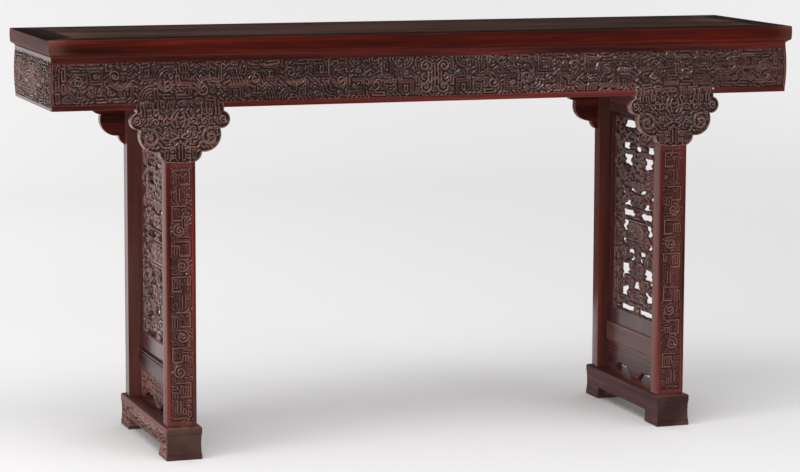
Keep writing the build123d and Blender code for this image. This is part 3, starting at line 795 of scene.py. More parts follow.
class Sheet:
    """The node sheet of one material."""

    def __init__(self, material):
        material.use_nodes = True
        self.tree = material.node_tree
        self.tree.nodes.clear()

    def add(self, kind, settings=None, sockets=None, output=0):
        """A node: its settings first, then the values or links of its sockets."""
        node = self.tree.nodes.new(kind)
        for key, setting in (settings or {}).items():
            setattr(node, key, setting)
        for key, value in (sockets or {}).items():
            if isinstance(value, Value):
                self.tree.links.new(value.socket, node.inputs[key])
            else:
                node.inputs[key].default_value = value
        return Value(self, node.outputs[output]) if node.outputs else node

    def blend(self, factor, first, second):
        """Two colours mixed by a factor, through the colour sockets of a Mix node."""
        return self.add(
            "ShaderNodeMix",
            {"data_type": "RGBA", "blend_type": "MIX", "clamp_factor": True},
            {0: factor, 6: first, 7: second},
            output=2,
        )

    def noise(self, place, scale, detail=4.0, roughness=0.55, distortion=0.0):
        """Noise between 0 and 1."""
        return self.add(
            "ShaderNodeTexNoise",
            {"noise_dimensions": "3D"},
            {
                "Vector": place,
                "Scale": scale,
                "Detail": detail,
                "Roughness": roughness,
                "Distortion": distortion,
            },
        )

    def stretch(self, place, scale):
        """Places scaled by their own amount along each axis."""
        sockets = {"Vector": place, "Scale": scale}
        return self.add("ShaderNodeMapping", {"vector_type": "POINT"}, sockets)

    def span(self, value, low, high, out_low=0.0, out_high=1.0):
        """A value carried smoothly from one range to another."""
        return self.add(
            "ShaderNodeMapRange",
            {"interpolation_type": "SMOOTHSTEP"},
            {
                "Value": value,
                "From Min": low,
                "From Max": high,
                "To Min": out_low,
                "To Max": out_high,
            },
        )


def opaque(colour):
    """A colour with its alpha."""
    return (*colour, 1.0)


def lighter(colour):
    """The colour of the light streaks in wood of one colour."""
    return opaque(min(2.4 * part, 1.0) for part in colour)


def grain_scale(axis, along, across):
    """Noise scales for grain that runs along one axis."""
    return tuple(along if k == axis else across for k in range(3))


def grain(sheet, axis):
    """Four noises of wood with its grain along an axis: its figure, the finer streaks and pores
    in it, and broad patches."""
    place = sheet.add("ShaderNodeTexCoord", output="Object")
    figure = sheet.noise(sheet.stretch(place, grain_scale(axis, 1.6, 42.0)), 1.0, 5.0, 0.6, 0.35)
    streak = sheet.noise(sheet.stretch(place, grain_scale(axis, 7.0, 330.0)), 1.0, 4.0, 0.6)
    pores = sheet.noise(sheet.stretch(place, grain_scale(axis, 55.0, 1500.0)), 1.0, 2.0, 0.5)
    patch = sheet.noise(sheet.stretch(place, grain_scale(axis, 2.2, 9.0)), 1.0, 3.0, 0.5)
    return figure, streak, pores, patch


def body_colours(sheet, base, other, carved, plain):
    """The colours of the wood and of its light streaks: one on most plain faces, another on
    those square to an axis, and a third in the carving, where plain is 0."""
    body, light = opaque(base), lighter(base)
    # On the legs and the runners this other colour is painted shade; on the rails it is the top's
    # own colour.
    if other is not None:
        square_to, colour = other
        normal = sheet.add("ShaderNodeNewGeometry", output="Normal")
        part = sheet.add("ShaderNodeSeparateXYZ", None, {"Vector": normal}, output=square_to)
        facing = sheet.span(part * part, 0.64, 0.94)
        body = sheet.blend(facing, body, opaque(colour))
        light = sheet.blend(facing, light, lighter(colour))
    if carved is not None:
        body = sheet.blend(plain, opaque(carved), body)
        light = sheet.blend(plain, lighter(carved), light)
    return body, light


def grained(sheet, body, light, figure, streak, patch):
    """A body colour with dark and light grain."""
    dark = opaque(bpy.context.scene.altar_wood.dark)
    body = sheet.blend(sheet.span(patch, 0.34, 0.68) * 0.35, body, dark)
    body = sheet.blend(sheet.span(figure, 0.46, 0.66) * 0.62, body, dark)
    body = sheet.blend(sheet.span(streak, 0.55, 0.72) * 0.42, body, dark)
    body = sheet.blend(sheet.span(figure, 0.50, 0.34) * 0.55, body, light)
    return sheet.blend(sheet.span(streak, 0.48, 0.28) * 0.35, body, light)


def rosewood(name, axis, base, carved=None, roughness=None, coat=0.3, gleam=0.5, other=None):
    """Polished rosewood with its grain along an axis. Carved wood has its own body colour in
    the carved fields, painted shade in the grounds, and a colour on the ridges that is rubbed
    wear with a painted highlight. Faces square to one axis may have another colour: other is
    that axis and the colour, which is painted shade on the legs' sides and the runners' ends."""
    if name in bpy.data.materials:
        return bpy.data.materials[name]
    wood = bpy.context.scene.altar_wood
    material = bpy.data.materials.new(name)
    sheet = Sheet(material)
    figure, streak, pores, patch = grain(sheet, axis)
    level = plain = None
    if carved is not None:
        level = sheet.add("ShaderNodeAttribute", {"attribute_name": "carve"}, output="Fac")
        plain = sheet.span(level, 1.05, 1.4)
    body, light = body_colours(sheet, base, other, carved, plain)
    body = grained(sheet, body, light, figure, streak, patch)
    shine = wood.gloss if roughness is None else roughness
    gloss = sheet.span(patch, 0.3, 0.7, shine, shine + 0.05)
    gloss = gloss + sheet.span(streak, 0.4, 0.7, 0.0, 0.05)
    if carved is not None:
        coat = sheet.span(level, 1.4, 1.05, 0.2 * coat, coat)
        # Painted shade: the deeper the carved ground, the more it is blended towards the dark
        # ground colour.
        ground = sheet.span(level, 0.62, 0.0)
        body = sheet.blend(ground * wood.shade, body, opaque(wood.ground))
        # The crests of the ridges take the worn colour: rubbed wear together with a painted
        # highlight.
        crest = sheet.span(level, 0.84, 1.0) * (1 - plain)
        crest = crest * sheet.span(patch, 0.3, 0.65, 0.35, 0.75)
        body = sheet.blend(crest, body, opaque(wood.wear_and_highlight))
        gloss = gloss + ground * 0.12
    edge = sheet.add("ShaderNodeNewGeometry", output="Pointiness")
    rubbed = sheet.span(edge, 0.508, 0.60) * sheet.span(patch, 0.3, 0.6, 0.35, 1.0)
    body = sheet.blend(rubbed * 0.45, body, opaque(wood.wear_and_highlight))
    height = streak * 0.5 + pores * 0.5
    relief = {"Strength": 0.28, "Distance": 0.0004, "Height": height}
    finish(sheet, body, gloss, relief, gleam, {"Coat Weight": coat, "Coat Roughness": 0.10})
    return material


def finish(sheet, colour, roughness, relief, gleam, coat):
    """The shader and output of a material, with a bump from a fine relief."""
    sockets = {
        "Base Color": colour,
        "Roughness": roughness,
        "Normal": sheet.add("ShaderNodeBump", None, relief),
        "Specular IOR Level": gleam,
        **coat,
    }
    shader = sheet.add("ShaderNodeBsdfPrincipled", None, sockets)
    sheet.add("ShaderNodeOutputMaterial", None, {"Surface": shader})


def plain_stage_material(name, colour):
    """Matt studio paper with a faint tooth."""
    material = bpy.data.materials.new(name)
    sheet = Sheet(material)
    tooth = sheet.noise(sheet.add("ShaderNodeTexCoord", output="Object"), 60.0, 3.0)
    relief = {"Strength": 0.05, "Distance": 0.001, "Height": tooth}
    finish(sheet, opaque(colour), 0.85, relief, 0.2, {})
    return material


def carved_wood(axis):
    """The wood of aprons and heads, with its grain along an axis."""
    wood = bpy.context.scene.altar_wood
    name = f"altar_carved_{'xyz'[axis]}"
    return rosewood(name, axis, wood.flat, wood.carving, roughness=0.22, coat=0.12, gleam=0.4)


def leg_wood():
    """The redder wood of the legs, whose shallow carving has a lighter painted shade. Their
    sides, square to the length, are painted a quarter darker as painted shade.
    """
    wood = bpy.context.scene.altar_wood
    # Painted shade: the legs' sides are a quarter darker than their fronts.
    side = [0.75 * part for part in wood.flat]
    name = "altar_leg"
    return rosewood(name, 2, wood.flat, wood.leg_carving, coat=0.15, gleam=0.2, other=(0, side))


def panel_wood():
    """The polished wood of the pierced boards, with painted shade in its cuts and openings."""
    wood = bpy.context.scene.altar_wood
    return rosewood("altar_openwork", 2, wood.end_frame, wood.openwork, coat=0.45, gleam=0.4)


def lower_wood():
    """The less polished wood of the lower panels."""
    wood = bpy.context.scene.altar_wood
    polish = {"roughness": 0.22, "coat": 0.1, "gleam": 0.4}
    return rosewood("altar_lower", 1, wood.end_frame, wood.openwork, **polish)


def stretcher_wood():
    """The plain wood of the stretchers."""
    wood = bpy.context.scene.altar_wood
    polish = {"roughness": 0.22, "coat": 0.0, "gleam": 0.3}
    return rosewood("altar_stretcher", 1, wood.end_frame, **polish)


def rail_wood(axis):
    """The red wood of the moulded top edge, less glossy on the end members and painted darker there
    as shade.
    """
    wood = bpy.context.scene.altar_wood
    name = f"altar_rail_{'xyz'[axis]}"
    base, roughness, gleam = wood.edge, 0.32, 0.08
    # Painted shade: the end members, lit from the side, get a darker copy of the edge colour.
    if axis == 1:
        base, roughness, gleam = [0.84 * part for part in wood.edge], 0.36, 0.04
    polish = {"roughness": roughness, "coat": 0.0, "gleam": gleam}
    return rosewood(name, axis, base, other=(2, wood.top), **polish)


def runner_wood():
    """The wood of the runners, with end faces painted darker as shade and carving painted lighter
    as light.
    """
    wood = bpy.context.scene.altar_wood
    # The end faces get a darker colour as painted shade.
    polish = {"roughness": 0.30, "coat": 0.0, "gleam": 0.1, "other": (1, wood.runner_end_painted_shade)}
    return rosewood("altar_runner", 1, wood.end_frame, wood.runner_carving_painted_light, **polish)


# ---- Framed top ----


MITRE_SEAM = 0.18
TOP_BOARD_THICKNESS = 14.0
BOARD_SEAM_Y = 24.0
BOARD_GAP = 0.25
BOARD_EASE = 0.5
BOARD_SUNK = 0.15


def rail_section():
    """A frame member's section as distances in from the outer face, and heights: rounded
    upper edge, softly swelling face and undercut lower edge."""
    top, low = TABLE_TOP, SLAB_UNDERSIDE
    section = [(FRAME_WIDTH - 0.2, low), (FRAME_WIDTH - 0.2, top - 0.4), (FRAME_WIDTH - 0.7, top)]
    section += arc_points((3.2, top), (1.1, top - 0.8), (0.4, top - 2.8), 6)
    section += arc_points((0.4, top - 2.8), (0.0, top - 14.5), (0.6, top - 27.5), 7)[1:]
    section += arc_points((0.6, top - 27.5), (2.0, top - 31.0), (5.0, top - 32.6), 7)[1:]
    section += [(9.5, low)]
    return section


def make_rail(half_outer, half_across, axis):
    """A mitred frame member along an axis, at the front or on the left."""
    section = rail_section()
    shares = np.linspace(-1, 1, 41)
    rings = []
    for share in shares:
        for inward, z in section:
            along = share * (half_outer - inward - MITRE_SEAM)
            across = -half_across + inward
            rings.append((along, across, z) if axis == 0 else (across, along, z))
    return np.array(rings), loft_faces(len(shares), len(section))


def make_boards():
    """The two boards that lie in the frame, with eased edges."""
    wood = bpy.context.scene.altar_wood
    material = rosewood("altar_top", 0, wood.top, roughness=0.36, coat=0.0, gleam=0.05)
    half_x, half_y = HALF_LENGTH - FRAME_WIDTH, HALF_DEPTH - FRAME_WIDTH
    gap, ease = BOARD_GAP, BOARD_EASE
    top, low = TABLE_TOP - BOARD_SUNK, TABLE_TOP - TOP_BOARD_THICKNESS
    for name, y0, y1 in (("front", -half_y, BOARD_SEAM_Y), ("back", BOARD_SEAM_Y, half_y)):
        section = [
            (y0 + gap, low),
            (y0 + gap, top - ease),
            (y0 + gap + ease, top),
            (y1 - gap - ease, top),
            (y1 - gap, top - ease),
            (y1 - gap, low),
        ]
        shares = np.linspace(-1, 1, 31)
        points = [(share * (half_x - gap), y, z) for share in shares for y, z in section]
        faces = loft_faces(len(shares), len(section))
        new_piece(f"top_panel_{name}_board", points, faces, material)


class ALTAR_OT_top_frame(bpy.types.Operator):
    """Builds the four moulded members of the top frame"""

    bl_idname = "altar_table.top_frame"
    bl_label = "Top frame"

    def execute(self, context):
        points, faces = make_rail(HALF_LENGTH, HALF_DEPTH, 0)
        for name, turn in (("front", 1), ("back", -1)):
            place = points * (1, turn, 1)
            new_piece(f"top_{name}_rail", place, faces, rail_wood(0))
        points, faces = make_rail(HALF_DEPTH, HALF_LENGTH, 1)
        for name, turn in SIDES:
            place = points * (turn, 1, 1)
            new_piece(f"top_{name}_end_rail", place, faces, rail_wood(1))
        return {"FINISHED"}


class ALTAR_OT_top_boards(bpy.types.Operator):
    """Builds the two boards of the top and finishes the battens under them"""

    bl_idname = "altar_table.top_boards"
    bl_label = "Top boards"

    def execute(self, context):
        make_boards()
        wood = context.scene.altar_wood
        underside = rosewood("altar_underside", 1, wood.carving, roughness=0.5, coat=0.0)
        for node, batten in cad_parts.items():
            if node.startswith("top_batten_"):
                for slot in batten.material_slots:
                    slot.material = underside
        return {"FINISHED"}


# ---- Aprons ----

# The bodies of one repeat of the aprons' carving, in cells of the field. Squared ones are
# given by their corners, along the field and up it. Round ones are given by their place along
# the field and above its middle, their radius, and the angle at which they start.
SQUARE_BODIES = [
    [(1, 2), (1, 6), (5, 6), (5, 3)],
    [(8, 12), (8, 8), (12, 8), (12, 11)],
    [(22, 3), (18, 3), (18, 7), (21, 7)],
]
ROUND_BODIES = [(12, -2.0, 3.4, 3.0), (25, 1.0, 3.6, 2.0)]
BODY_REPEAT = 29
BODY_START = 7
BODY_MIDDLE = 7.5
BODY_END_GAP = 12.0

# Strokes that run off an apron's lower edge start here
BELOW_EDGE = -5.0

# The matrices that turn a piece made at the front to each side
TURNS = {
    "front": ((1, 0, 0), (0, 1, 0), (0, 0, 1)),
    "back": ((-1, 0, 0), (0, -1, 0), (0, 0, 1)),
    "left": ((0, -1, 0), (1, 0, 0), (0, 0, 1)),
    "right": ((0, 1, 0), (-1, 0, 0), (0, 0, 1)),
}


def curved_body(x, y, radius, first, sweep, pitch):
    """A body bent round a centre from one angle on, with a curl at its end."""
    angles = first + sweep * np.linspace(0, 1, 16)
    body = np.column_stack((x + radius * np.cos(angles), y + radius * np.sin(angles)))
    side = math.copysign(1, sweep)
    reach = 1.8 * pitch
    inner, last = radius - reach, angles[-1]
    centre = (x + inner * math.cos(last), y + inner * math.sin(last))
    curl = scroll_points(*centre, reach, 0.3 * reach, 1.15, angles[-1], side)
    return body, curl


def apron_borders(necks):
    """The heights between which an apron is carved. Those of the end aprons are further apart."""
    height = SLAB_UNDERSIDE - APRON_UNDERSIDE
    if necks:
        return APRON_BORDER_BOTTOM, height - APRON_BORDER_TOP
    return 0.6 * APRON_BORDER_BOTTOM, height - 0.6 * APRON_BORDER_TOP


def apron_relief(half_width, cell, stroke, step, seed, necks):
    """Half of an apron's carved face, from its middle to its end."""
    low, high = apron_borders(necks)
    relief = Relief(half_width, SLAB_UNDERSIDE - APRON_UNDERSIDE, step, finer=0.87)

    def in_neck(x, y):
        return necks & (abs(x - LEG_X) < NECK_HALF - HEAD_RIM) & (y < high)

    def allowed(x, y):
        return ((y > low) & (y < high) & (x < half_width - APRON_CORNER)) | in_neck(x, y)

    rows = round((high - low) / cell)
    middle, pitch = (low + high) / 2, (high - low) / rows
    carve_bodies(relief, middle, pitch, stroke)
    carve_centre_flower(relief, middle, pitch, stroke)
    if necks:
        carve_necks(relief, low, stroke)
    fill_with_scrolls(relief, pitch, stroke, seed, allowed)
    return relief


def carve_bodies(relief, middle, pitch, stroke):
    """The bodies along half an apron, where every other repeat is upside down."""
    end = relief.x[-1]
    for unit in range(int(end // (BODY_REPEAT * pitch)) + 1):
        base = (unit * BODY_REPEAT + BODY_START) * pitch
        turn = -1 if unit % 2 else 1
        for along, up, radius, first in ROUND_BODIES:
            x, y = base + along * pitch, middle + turn * up * pitch
            if x + radius * pitch < end - 3 * pitch:
                sweep = -turn * 3.3
                body, curl = curved_body(x, y, radius * pitch, turn * first, sweep, pitch)
                relief.ribbon(body, 1.5 * pitch)
                relief.ridge(curl, stroke)
        for square in SQUARE_BODIES:
            points = [
                (base + u * pitch, middle + turn * (v - BODY_MIDDLE) * pitch) for u, v in square
            ]
            if points[-1][0] < end - BODY_END_GAP:
                relief.ribbon(points, 1.4 * pitch)


def carve_necks(relief, low, stroke):
    """The rims and bars that run from an apron down over the head on its leg."""
    for side in (-1, 1):
        x = LEG_X + side * (NECK_HALF - 0.5 * HEAD_RIM)
        relief.ridge([(x, BELOW_EDGE), (x, low)], HEAD_RIM)
        for offset in NECK_BARS:
            x = LEG_X + side * offset
            relief.ridge([(x, BELOW_EDGE), (x, 0.45 * (low + offset / 4))], stroke)


def carve_centre_flower(relief, y, pitch, stroke):
    """Half of the upright flower at the middle of an apron, between two pairs of curls."""
    for offset, reach in ((0, 3.6), (1.1, 2.6), (2.2, 1.5)):
        x = offset * pitch
        relief.ridge([(x, y - reach * pitch), (x, y + reach * pitch)], stroke)
    for side in (-1, 1):
        centre = (3.2 * pitch, y + side * 3.4 * pitch)
        curl = scroll_points(*centre, 2.1 * pitch, 0.4 * pitch, 1.4, math.pi, -side)
        relief.ridge(curl, 1.1 * stroke)
    leaf = arc_points((3.6 * pitch, y - pitch), (4.6 * pitch, y), (3.6 * pitch, y + pitch), 8)
    relief.ridge(leaf, stroke)


def apron_face(x, y, level, depth, necks, end_gap):
    """How far an apron's face stands out, at places along it and up it, and rounded off
    towards the mitres."""
    low, high = apron_borders(necks)
    rise = np.clip((y - low) / (high - low), 0, 1)
    bulge = FACE_SWELL * 4 * rise * (1 - rise)
    sunk = ((y > low) & (y < high)).astype(float)
    if necks:
        inside = np.clip((NECK_HALF - abs(abs(x) - LEG_X)) / NECK_BLEND, 0, 1)
        proud = FACE_SWELL + (HEAD_FRONT - APRON_FACE - FACE_SWELL) * (1 - 2 * rise)
        below = rise < 0.5
        bulge = np.where(below, bulge + inside * (proud - bulge), bulge)
        sunk = np.where(below & (inside >= 1), 1.0, sunk)
    sunk = np.where(end_gap < APRON_CORNER, 0.0, sunk)
    return bulge - sunk * depth * (1 - level) - rounded_drop(end_gap, APRON_EASE)


def make_apron(node, half_length, face, necks, seed, turn):
    """A carved apron, mitred at both ends to the bulge of its own face. It is made at the
    front and turned about the middle of the table."""
    carving = bpy.context.scene.altar_carving
    cell, stroke, depth = (1000 * size for size in (carving.cell, carving.stroke, carving.depth))
    relief = apron_relief(half_length, cell, stroke, carving.apron_step * 1000, seed, necks)
    level = relief.mirrored()
    along = np.concatenate((-relief.x[:0:-1], relief.x))
    x, y = np.meshgrid(along, relief.y)
    end_gap = half_length - np.abs(x)
    out = apron_face(x, y, level, depth, necks, end_gap)
    rows, columns = level.shape
    heights = np.append(relief.y, (relief.y[-1], relief.y[0]))[:, None] + APRON_UNDERSIDE
    outward = np.vstack((out, np.full((2, columns), -(APRON_FACE - APRON_BACK))))
    plain = (abs(out) < 0.01) | (end_gap < APRON_CORNER)
    marks = np.vstack((np.where(plain, FLAT, level), np.full((2, columns), FLAT)))
    reach = along * ((half_length - APRON_SEAM + outward) / half_length)
    points = np.stack((reach, -(face + outward), heights + 0 * reach), axis=-1)
    points = points.transpose(1, 0, 2).reshape(-1, 3) @ turn
    faces = loft_faces(columns, rows + 2)
    material = carved_wood(0 if necks else 1)
    new_piece(node, points, faces, material, marks.T.ravel())


class ALTAR_OT_aprons(bpy.types.Operator):
    """Builds the four carved aprons"""

    bl_idname = "altar_table.aprons"
    bl_label = "Aprons"

    def execute(self, context):
        seed = context.scene.altar_carving.seed
        for name in ("front", "back"):
            make_apron(f"{name}_apron", APRON_END, APRON_FACE, True, seed, TURNS[name])
        for name in ("left", "right"):
            make_apron(f"{name}_end_apron", APRON_FACE, APRON_END, False, seed + 1, TURNS[name])
        return {"FINISHED"}


# ---- Spandrel heads ----


def head_half_outline():
    """The right half of a head, from its bottom up to the apron."""
    top, drop, half = APRON_UNDERSIDE, HEAD_DROP, HEAD_HALF
    neck_end = (NECK_HALF, top - NECK_LENGTH)
    upper_notch = (0.80 * half, top - 0.38 * drop)
    lower_notch = (0.43 * half, top - 0.80 * drop)
    lobe_end = (0.28 * half, top - 0.985 * drop)
    points = arc_points((0, HEAD_BOTTOM), (0.14 * half, HEAD_BOTTOM + 0.4), lobe_end, 6)
    points += arc_points(lobe_end, (0.39 * half, top - 0.91 * drop), lower_notch, 12)[1:]
    points += arc_points(lower_notch, (0.75 * half, top - 0.68 * drop), upper_notch, 24)[1:]
    points += arc_points(upper_notch, (half, top - 0.21 * drop), neck_end, 20)[1:]
    return points + [(NECK_HALF, top)]


# The carving of the right half of a head, in millimetres from its middle and from the floor.
# Curls are given by their centre, radius, core, turns, first angle, hand and width.
HEAD_CURLS = [
    ((65, 689), 20.0, 1.0, 1.55, 1.4, 1, 8.2),
    ((94, 727), 9.0, 1.5, 1.2, -1.6, -1, 5.2),
    ((30, 723), 9.0, 1.2, 1.2, 2.6, -1, 5.2),
    ((53, 722), 8.5, 1.2, 1.2, 0.0, 1, 5.2),
    ((30, 696), 8.0, 1.2, 1.2, -1.6, 1, 5.2),
]
HEAD_LEAVES = [
    [(4.0, 712), (10.0, 726), (5.0, 742)],
    [(13.0, 712), (19.0, 727), (12.0, 744)],
    [(3.0, 694), (12.0, 697), (22.0, 711)],
    [(3.0, 690), (14.0, 686), (23.0, 680)],
]
HEAD_BEADS = [(0, 681), (0, 703), (41, 706), (42, 690), (74, 716)]
HEAD_BAR = [(3.4, 645), (3.4, 672)]
HEAD_FRETS = [(16, 649), (16, 662)]
HEAD_LEAF_WIDTH = 5.4
HEAD_BEAD_RADIUS = 3.2
HEAD_BAR_WIDTH = 4.2
NECK_BAR_LOW = 744
NECK_BAR_HIGH = 753


def carve_head(relief, cell, stroke, seed, outline, edge):
    """The carving of a head's right half: a volute in the middle lobe, small curls in the
    upper one, a bar with squared curls in the lowest one, and scrolls between them."""

    def spot(x, z):
        return x, z - HEAD_BOTTOM

    for centre, radius, core, turns, start, hand, width in HEAD_CURLS:
        relief.ridge(scroll_points(*spot(*centre), radius, core, turns, start, hand), width)
    for leaf in HEAD_LEAVES:
        relief.ridge(arc_points(*(spot(*place) for place in leaf), 8), HEAD_LEAF_WIDTH)
    relief.ridge([spot(*place) for place in HEAD_BAR], HEAD_BAR_WIDTH)
    for place in HEAD_FRETS:
        x, y = spot(*place)
        fret = square_scroll_points((x - 5, y - 4, x + 5, y + 4), 4.8)
        relief.ridge(fret, HEAD_BAR_WIDTH)
    for place in HEAD_BEADS:
        relief.ball(*spot(*place), HEAD_BEAD_RADIUS)
    for offset in NECK_BARS:
        foot, tip = spot(offset, NECK_BAR_LOW - offset / 10), spot(offset, NECK_BAR_HIGH)
        relief.ridge([foot, tip], stroke)

    def allowed(x, y):
        distance = outline_field(edge, x, y + HEAD_BOTTOM)[0]
        inside = outline_field(outline, x, y + HEAD_BOTTOM)[3]
        return inside & (distance > HEAD_RIM + HEAD_EASE)

    fill_with_scrolls(relief, cell, stroke, seed, allowed)


class ALTAR_OT_heads(bpy.types.Operator):
    """Builds the four cloud-shaped heads under the aprons"""

    bl_idname = "altar_table.heads"
    bl_label = "Spandrel heads"

    def execute(self, context):
        carving = context.scene.altar_carving
        step, depth = carving.leg_step * 1000, carving.depth * 1000
        half = head_half_outline()
        other = [(-x, z) for x, z in half[:0:-1]]
        outline = closed_outline(half + other)
        open_edge = [edge for edge in outline if min(edge[0][1], edge[1][1]) < APRON_UNDERSIDE]
        relief = Relief(HEAD_HALF, HEAD_DROP, step)
        cell, stroke = carving.cell * 1000, carving.stroke * 1000
        carve_head(relief, 0.95 * cell, stroke, carving.seed + 2, outline, open_edge)
        across = np.concatenate((-relief.x[:0:-1], relief.x))
        board = CutBoard(across, relief.y + HEAD_BOTTOM, outline)
        distance = outline_field(open_edge, board.x, board.y)[0]
        bead = 2 * distance / HEAD_RIM - 1
        rim = np.sqrt(np.clip(1 - bead * np.abs(bead), 0, 1)) * (distance < HEAD_RIM)
        level = np.maximum(relief.mirrored(), rim)
        front = -HEAD_FRONT + depth * (1 - level) + rounded_drop(distance, HEAD_EASE)
        back = np.full(level.shape, -APRON_BACK)
        flat, faces, here = board.build(front, back)
        marks = np.concatenate((level[here], np.full(here.sum(), FLAT)))
        points = np.column_stack((flat[:, 0] - LEG_X, flat[:, 2], flat[:, 1]))
        new_four("spandrel_head", points, faces, carved_wood(0), marks)
        return {"FINISHED"}


# ---- Legs ----


def carve_leg(relief, cell, stroke, seed):
    """The carving down a leg: bars across it, with a hook and a pair of bars or a spiral under
    each, and frets between."""
    width, height = relief.x[-1], relief.y[-1]
    middle = width / 2
    unit = 12.5 * cell
    for k in range(int(height // unit) + 1):
        top = height - 1.0 * cell - k * unit
        hand = 1 if k % 2 else -1
        bar = [(middle - hand * 0.42 * width, top), (middle + hand * 0.25 * width, top)]
        relief.ridge(bar, stroke)
        bend = max(top - 5 * cell, cell)
        relief.ridge([bar[0], (bar[0][0], bend), (middle, bend)], 1.25 * stroke)
        low = top - 8.6 * cell
        if low < 3 * cell:
            continue
        if k % 3:
            x, radius, core = middle - hand * 0.5 * cell, 2.4 * cell, 0.4 * cell
            relief.ridge(scroll_points(x, low, radius, core, 1.7, 1.6, hand), 1.15 * stroke)
        else:
            for offset in (-0.6, 0.6):
                x = middle + (offset + hand) * cell
                relief.ridge([(x, low - 2.2 * cell), (x, low + 2.2 * cell)], stroke)
    fill_with_scrolls(relief, cell, stroke, seed, lambda x, y: x > 0, FRET_MOTIFS)


def leg_rings(relief, depth):
    """Rings of points up the front left leg, and their carving marks."""
    half, field = LEG_WIDTH / 2, relief.x[-1] / 2
    corner = [(half - 0.15, LEG_EASE), (half - 0.75, 0.75), (half - LEG_EASE, 0.15)]
    border = np.linspace(-half + LEG_CORNER, -field - LEG_LIP, 4)
    xs = np.concatenate((border, relief.x - field, -border[::-1]))
    low, high = RUNNER_TOP + LEG_BORDER, HEAD_BOTTOM - LEG_BORDER
    climb = low + relief.y * (high - low) / relief.y[-1]
    zs = np.concatenate(([RUNNER_TOP, low - LEG_LIP], climb, [high + LEG_LIP]))
    inner = (slice(2, -1), slice(4, -4))
    sunk = np.zeros((len(zs), len(xs)))
    sunk[inner] = depth * (1 - relief.level)
    marks = np.full(sunk.shape, FLAT)
    # The legs' marks stay above the bare ground's, so their grounds get only a light painted shade.
    marks[inner] = 0.48 + 0.5 * relief.level
    rings, levels = [], []
    for row, z in enumerate(zs):
        rings.append(leg_ring(xs, z + 0 * xs, sunk[row], corner))
        levels.append(np.concatenate((np.full(3, FLAT), marks[row], np.full(5, FLAT))))
    shoulder = HEAD_BOTTOM + SHOULDER_RISE * np.clip(np.abs(xs) / SHOULDER_HALF, 0, 1.2) ** 2
    cut = APRON_FACE - APRON_BACK
    cut_corner = [(x, cut) for x, _ in corner]
    rings.append(leg_ring(xs, shoulder, 0 * xs, corner))
    rings.append(leg_ring(xs, shoulder, 0 * xs + cut, cut_corner))
    rings.append(leg_ring(xs, SLAB_UNDERSIDE + 0 * xs, 0 * xs + cut, cut_corner))
    levels += [np.full(len(xs) + 8, FLAT)] * 3
    return np.array(rings), np.array(levels)


def leg_ring(xs, zs, sunk, corner):
    """One ring of a leg: its worked front face, two eased corners and its inner face."""
    face, inner = -APRON_FACE, -LEG_INNER
    half = LEG_WIDTH / 2
    left = [(-x, face + y, zs[0]) for x, y in corner]
    front = list(zip(xs, face + sunk, zs))
    right = [(x, face + y, zs[-1]) for x, y in corner[::-1]]
    return left + front + right + [(half, inner, zs[-1]), (-half, inner, zs[0])]


class ALTAR_OT_legs(bpy.types.Operator):
    """Builds the four carved legs"""

    bl_idname = "altar_table.legs"
    bl_label = "Legs"

    def execute(self, context):
        carving = context.scene.altar_carving
        width = LEG_WIDTH - 2 * LEG_BORDER
        height = HEAD_BOTTOM - RUNNER_TOP - 2 * LEG_BORDER
        relief = Relief(width, height, carving.leg_step * 1000)
        cell, stroke = 0.95 * carving.cell * 1000, 0.92 * carving.stroke * 1000
        carve_leg(relief, cell, stroke, carving.seed + 3)
        rings, levels = leg_rings(relief, 0.7 * carving.depth * 1000)
        faces = loft_faces(len(rings), rings.shape[1])
        points = rings.reshape(-1, 3) + (-LEG_X, 0, 0)
        new_four("leg", points, faces, leg_wood(), levels.ravel())
        return {"FINISHED"}


# ---- Stretchers ----


def stretcher_section(low, high, beaded):
    """A stretcher's section, out from its middle and up: eased edges, beads on its face."""
    half, ease, radius = STRETCHER_THICKNESS / 2, STRETCHER_EASE, BEAD_RADIUS
    section = [(half - ease, low), (half, low + ease), (half, high - ease), (half - ease, high)]
    if not beaded:
        return section + [(-x, z) for x, z in section[::-1]]
    section += [(-half, high)]
    for k in range(BEAD_COUNT):
        z = high - radius * (2 * k + 1)
        section += arc_points((-half, z + radius), (-half - radius, z), (-half, z - radius), 9)[1:]
    return section + [(-half, low + ease), (-half + ease, low)]


class ALTAR_OT_stretchers(bpy.types.Operator):
    """Builds the beaded and the plain stretchers of both leg frames"""

    bl_idname = "altar_table.stretchers"
    bl_label = "Stretchers"

    def execute(self, context):
        ys = np.linspace(-LEG_INNER, LEG_INNER, 25)
        for kind, low, high in (("mid", MID_LOW, MID_HIGH), ("top", UPPER_LOW, UPPER_HIGH)):
            section = stretcher_section(low[2], high[2], kind == "mid")
            points = np.array([(x - LEG_X, y, z) for y in ys for x, z in section])
            faces = loft_faces(len(ys), len(section))
            new_pair(f"{kind}_stretcher", points, faces, stretcher_wood())
        return {"FINISHED"}


# ---- End panels ----


def wall_outline(node, plane_low, plane_high):
    """The outline of a board, read from the walls between its two faces."""
    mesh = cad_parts[node].data
    places = np.array([vertex.co for vertex in mesh.vertices]) * 1000
    outline = []
    for polygon in mesh.polygons:
        corners = places[list(polygon.vertices)]
        on_low = np.abs(corners[:, 0] - plane_low) < 0.01
        on_high = np.abs(corners[:, 0] - plane_high) < 0.01
        if on_low.sum() == 2 and on_high.any():
            (_, y0, z0), (_, y1, z1) = corners[on_low]
            outline.append(((y0, z0), (y1, z1)))
    return outline


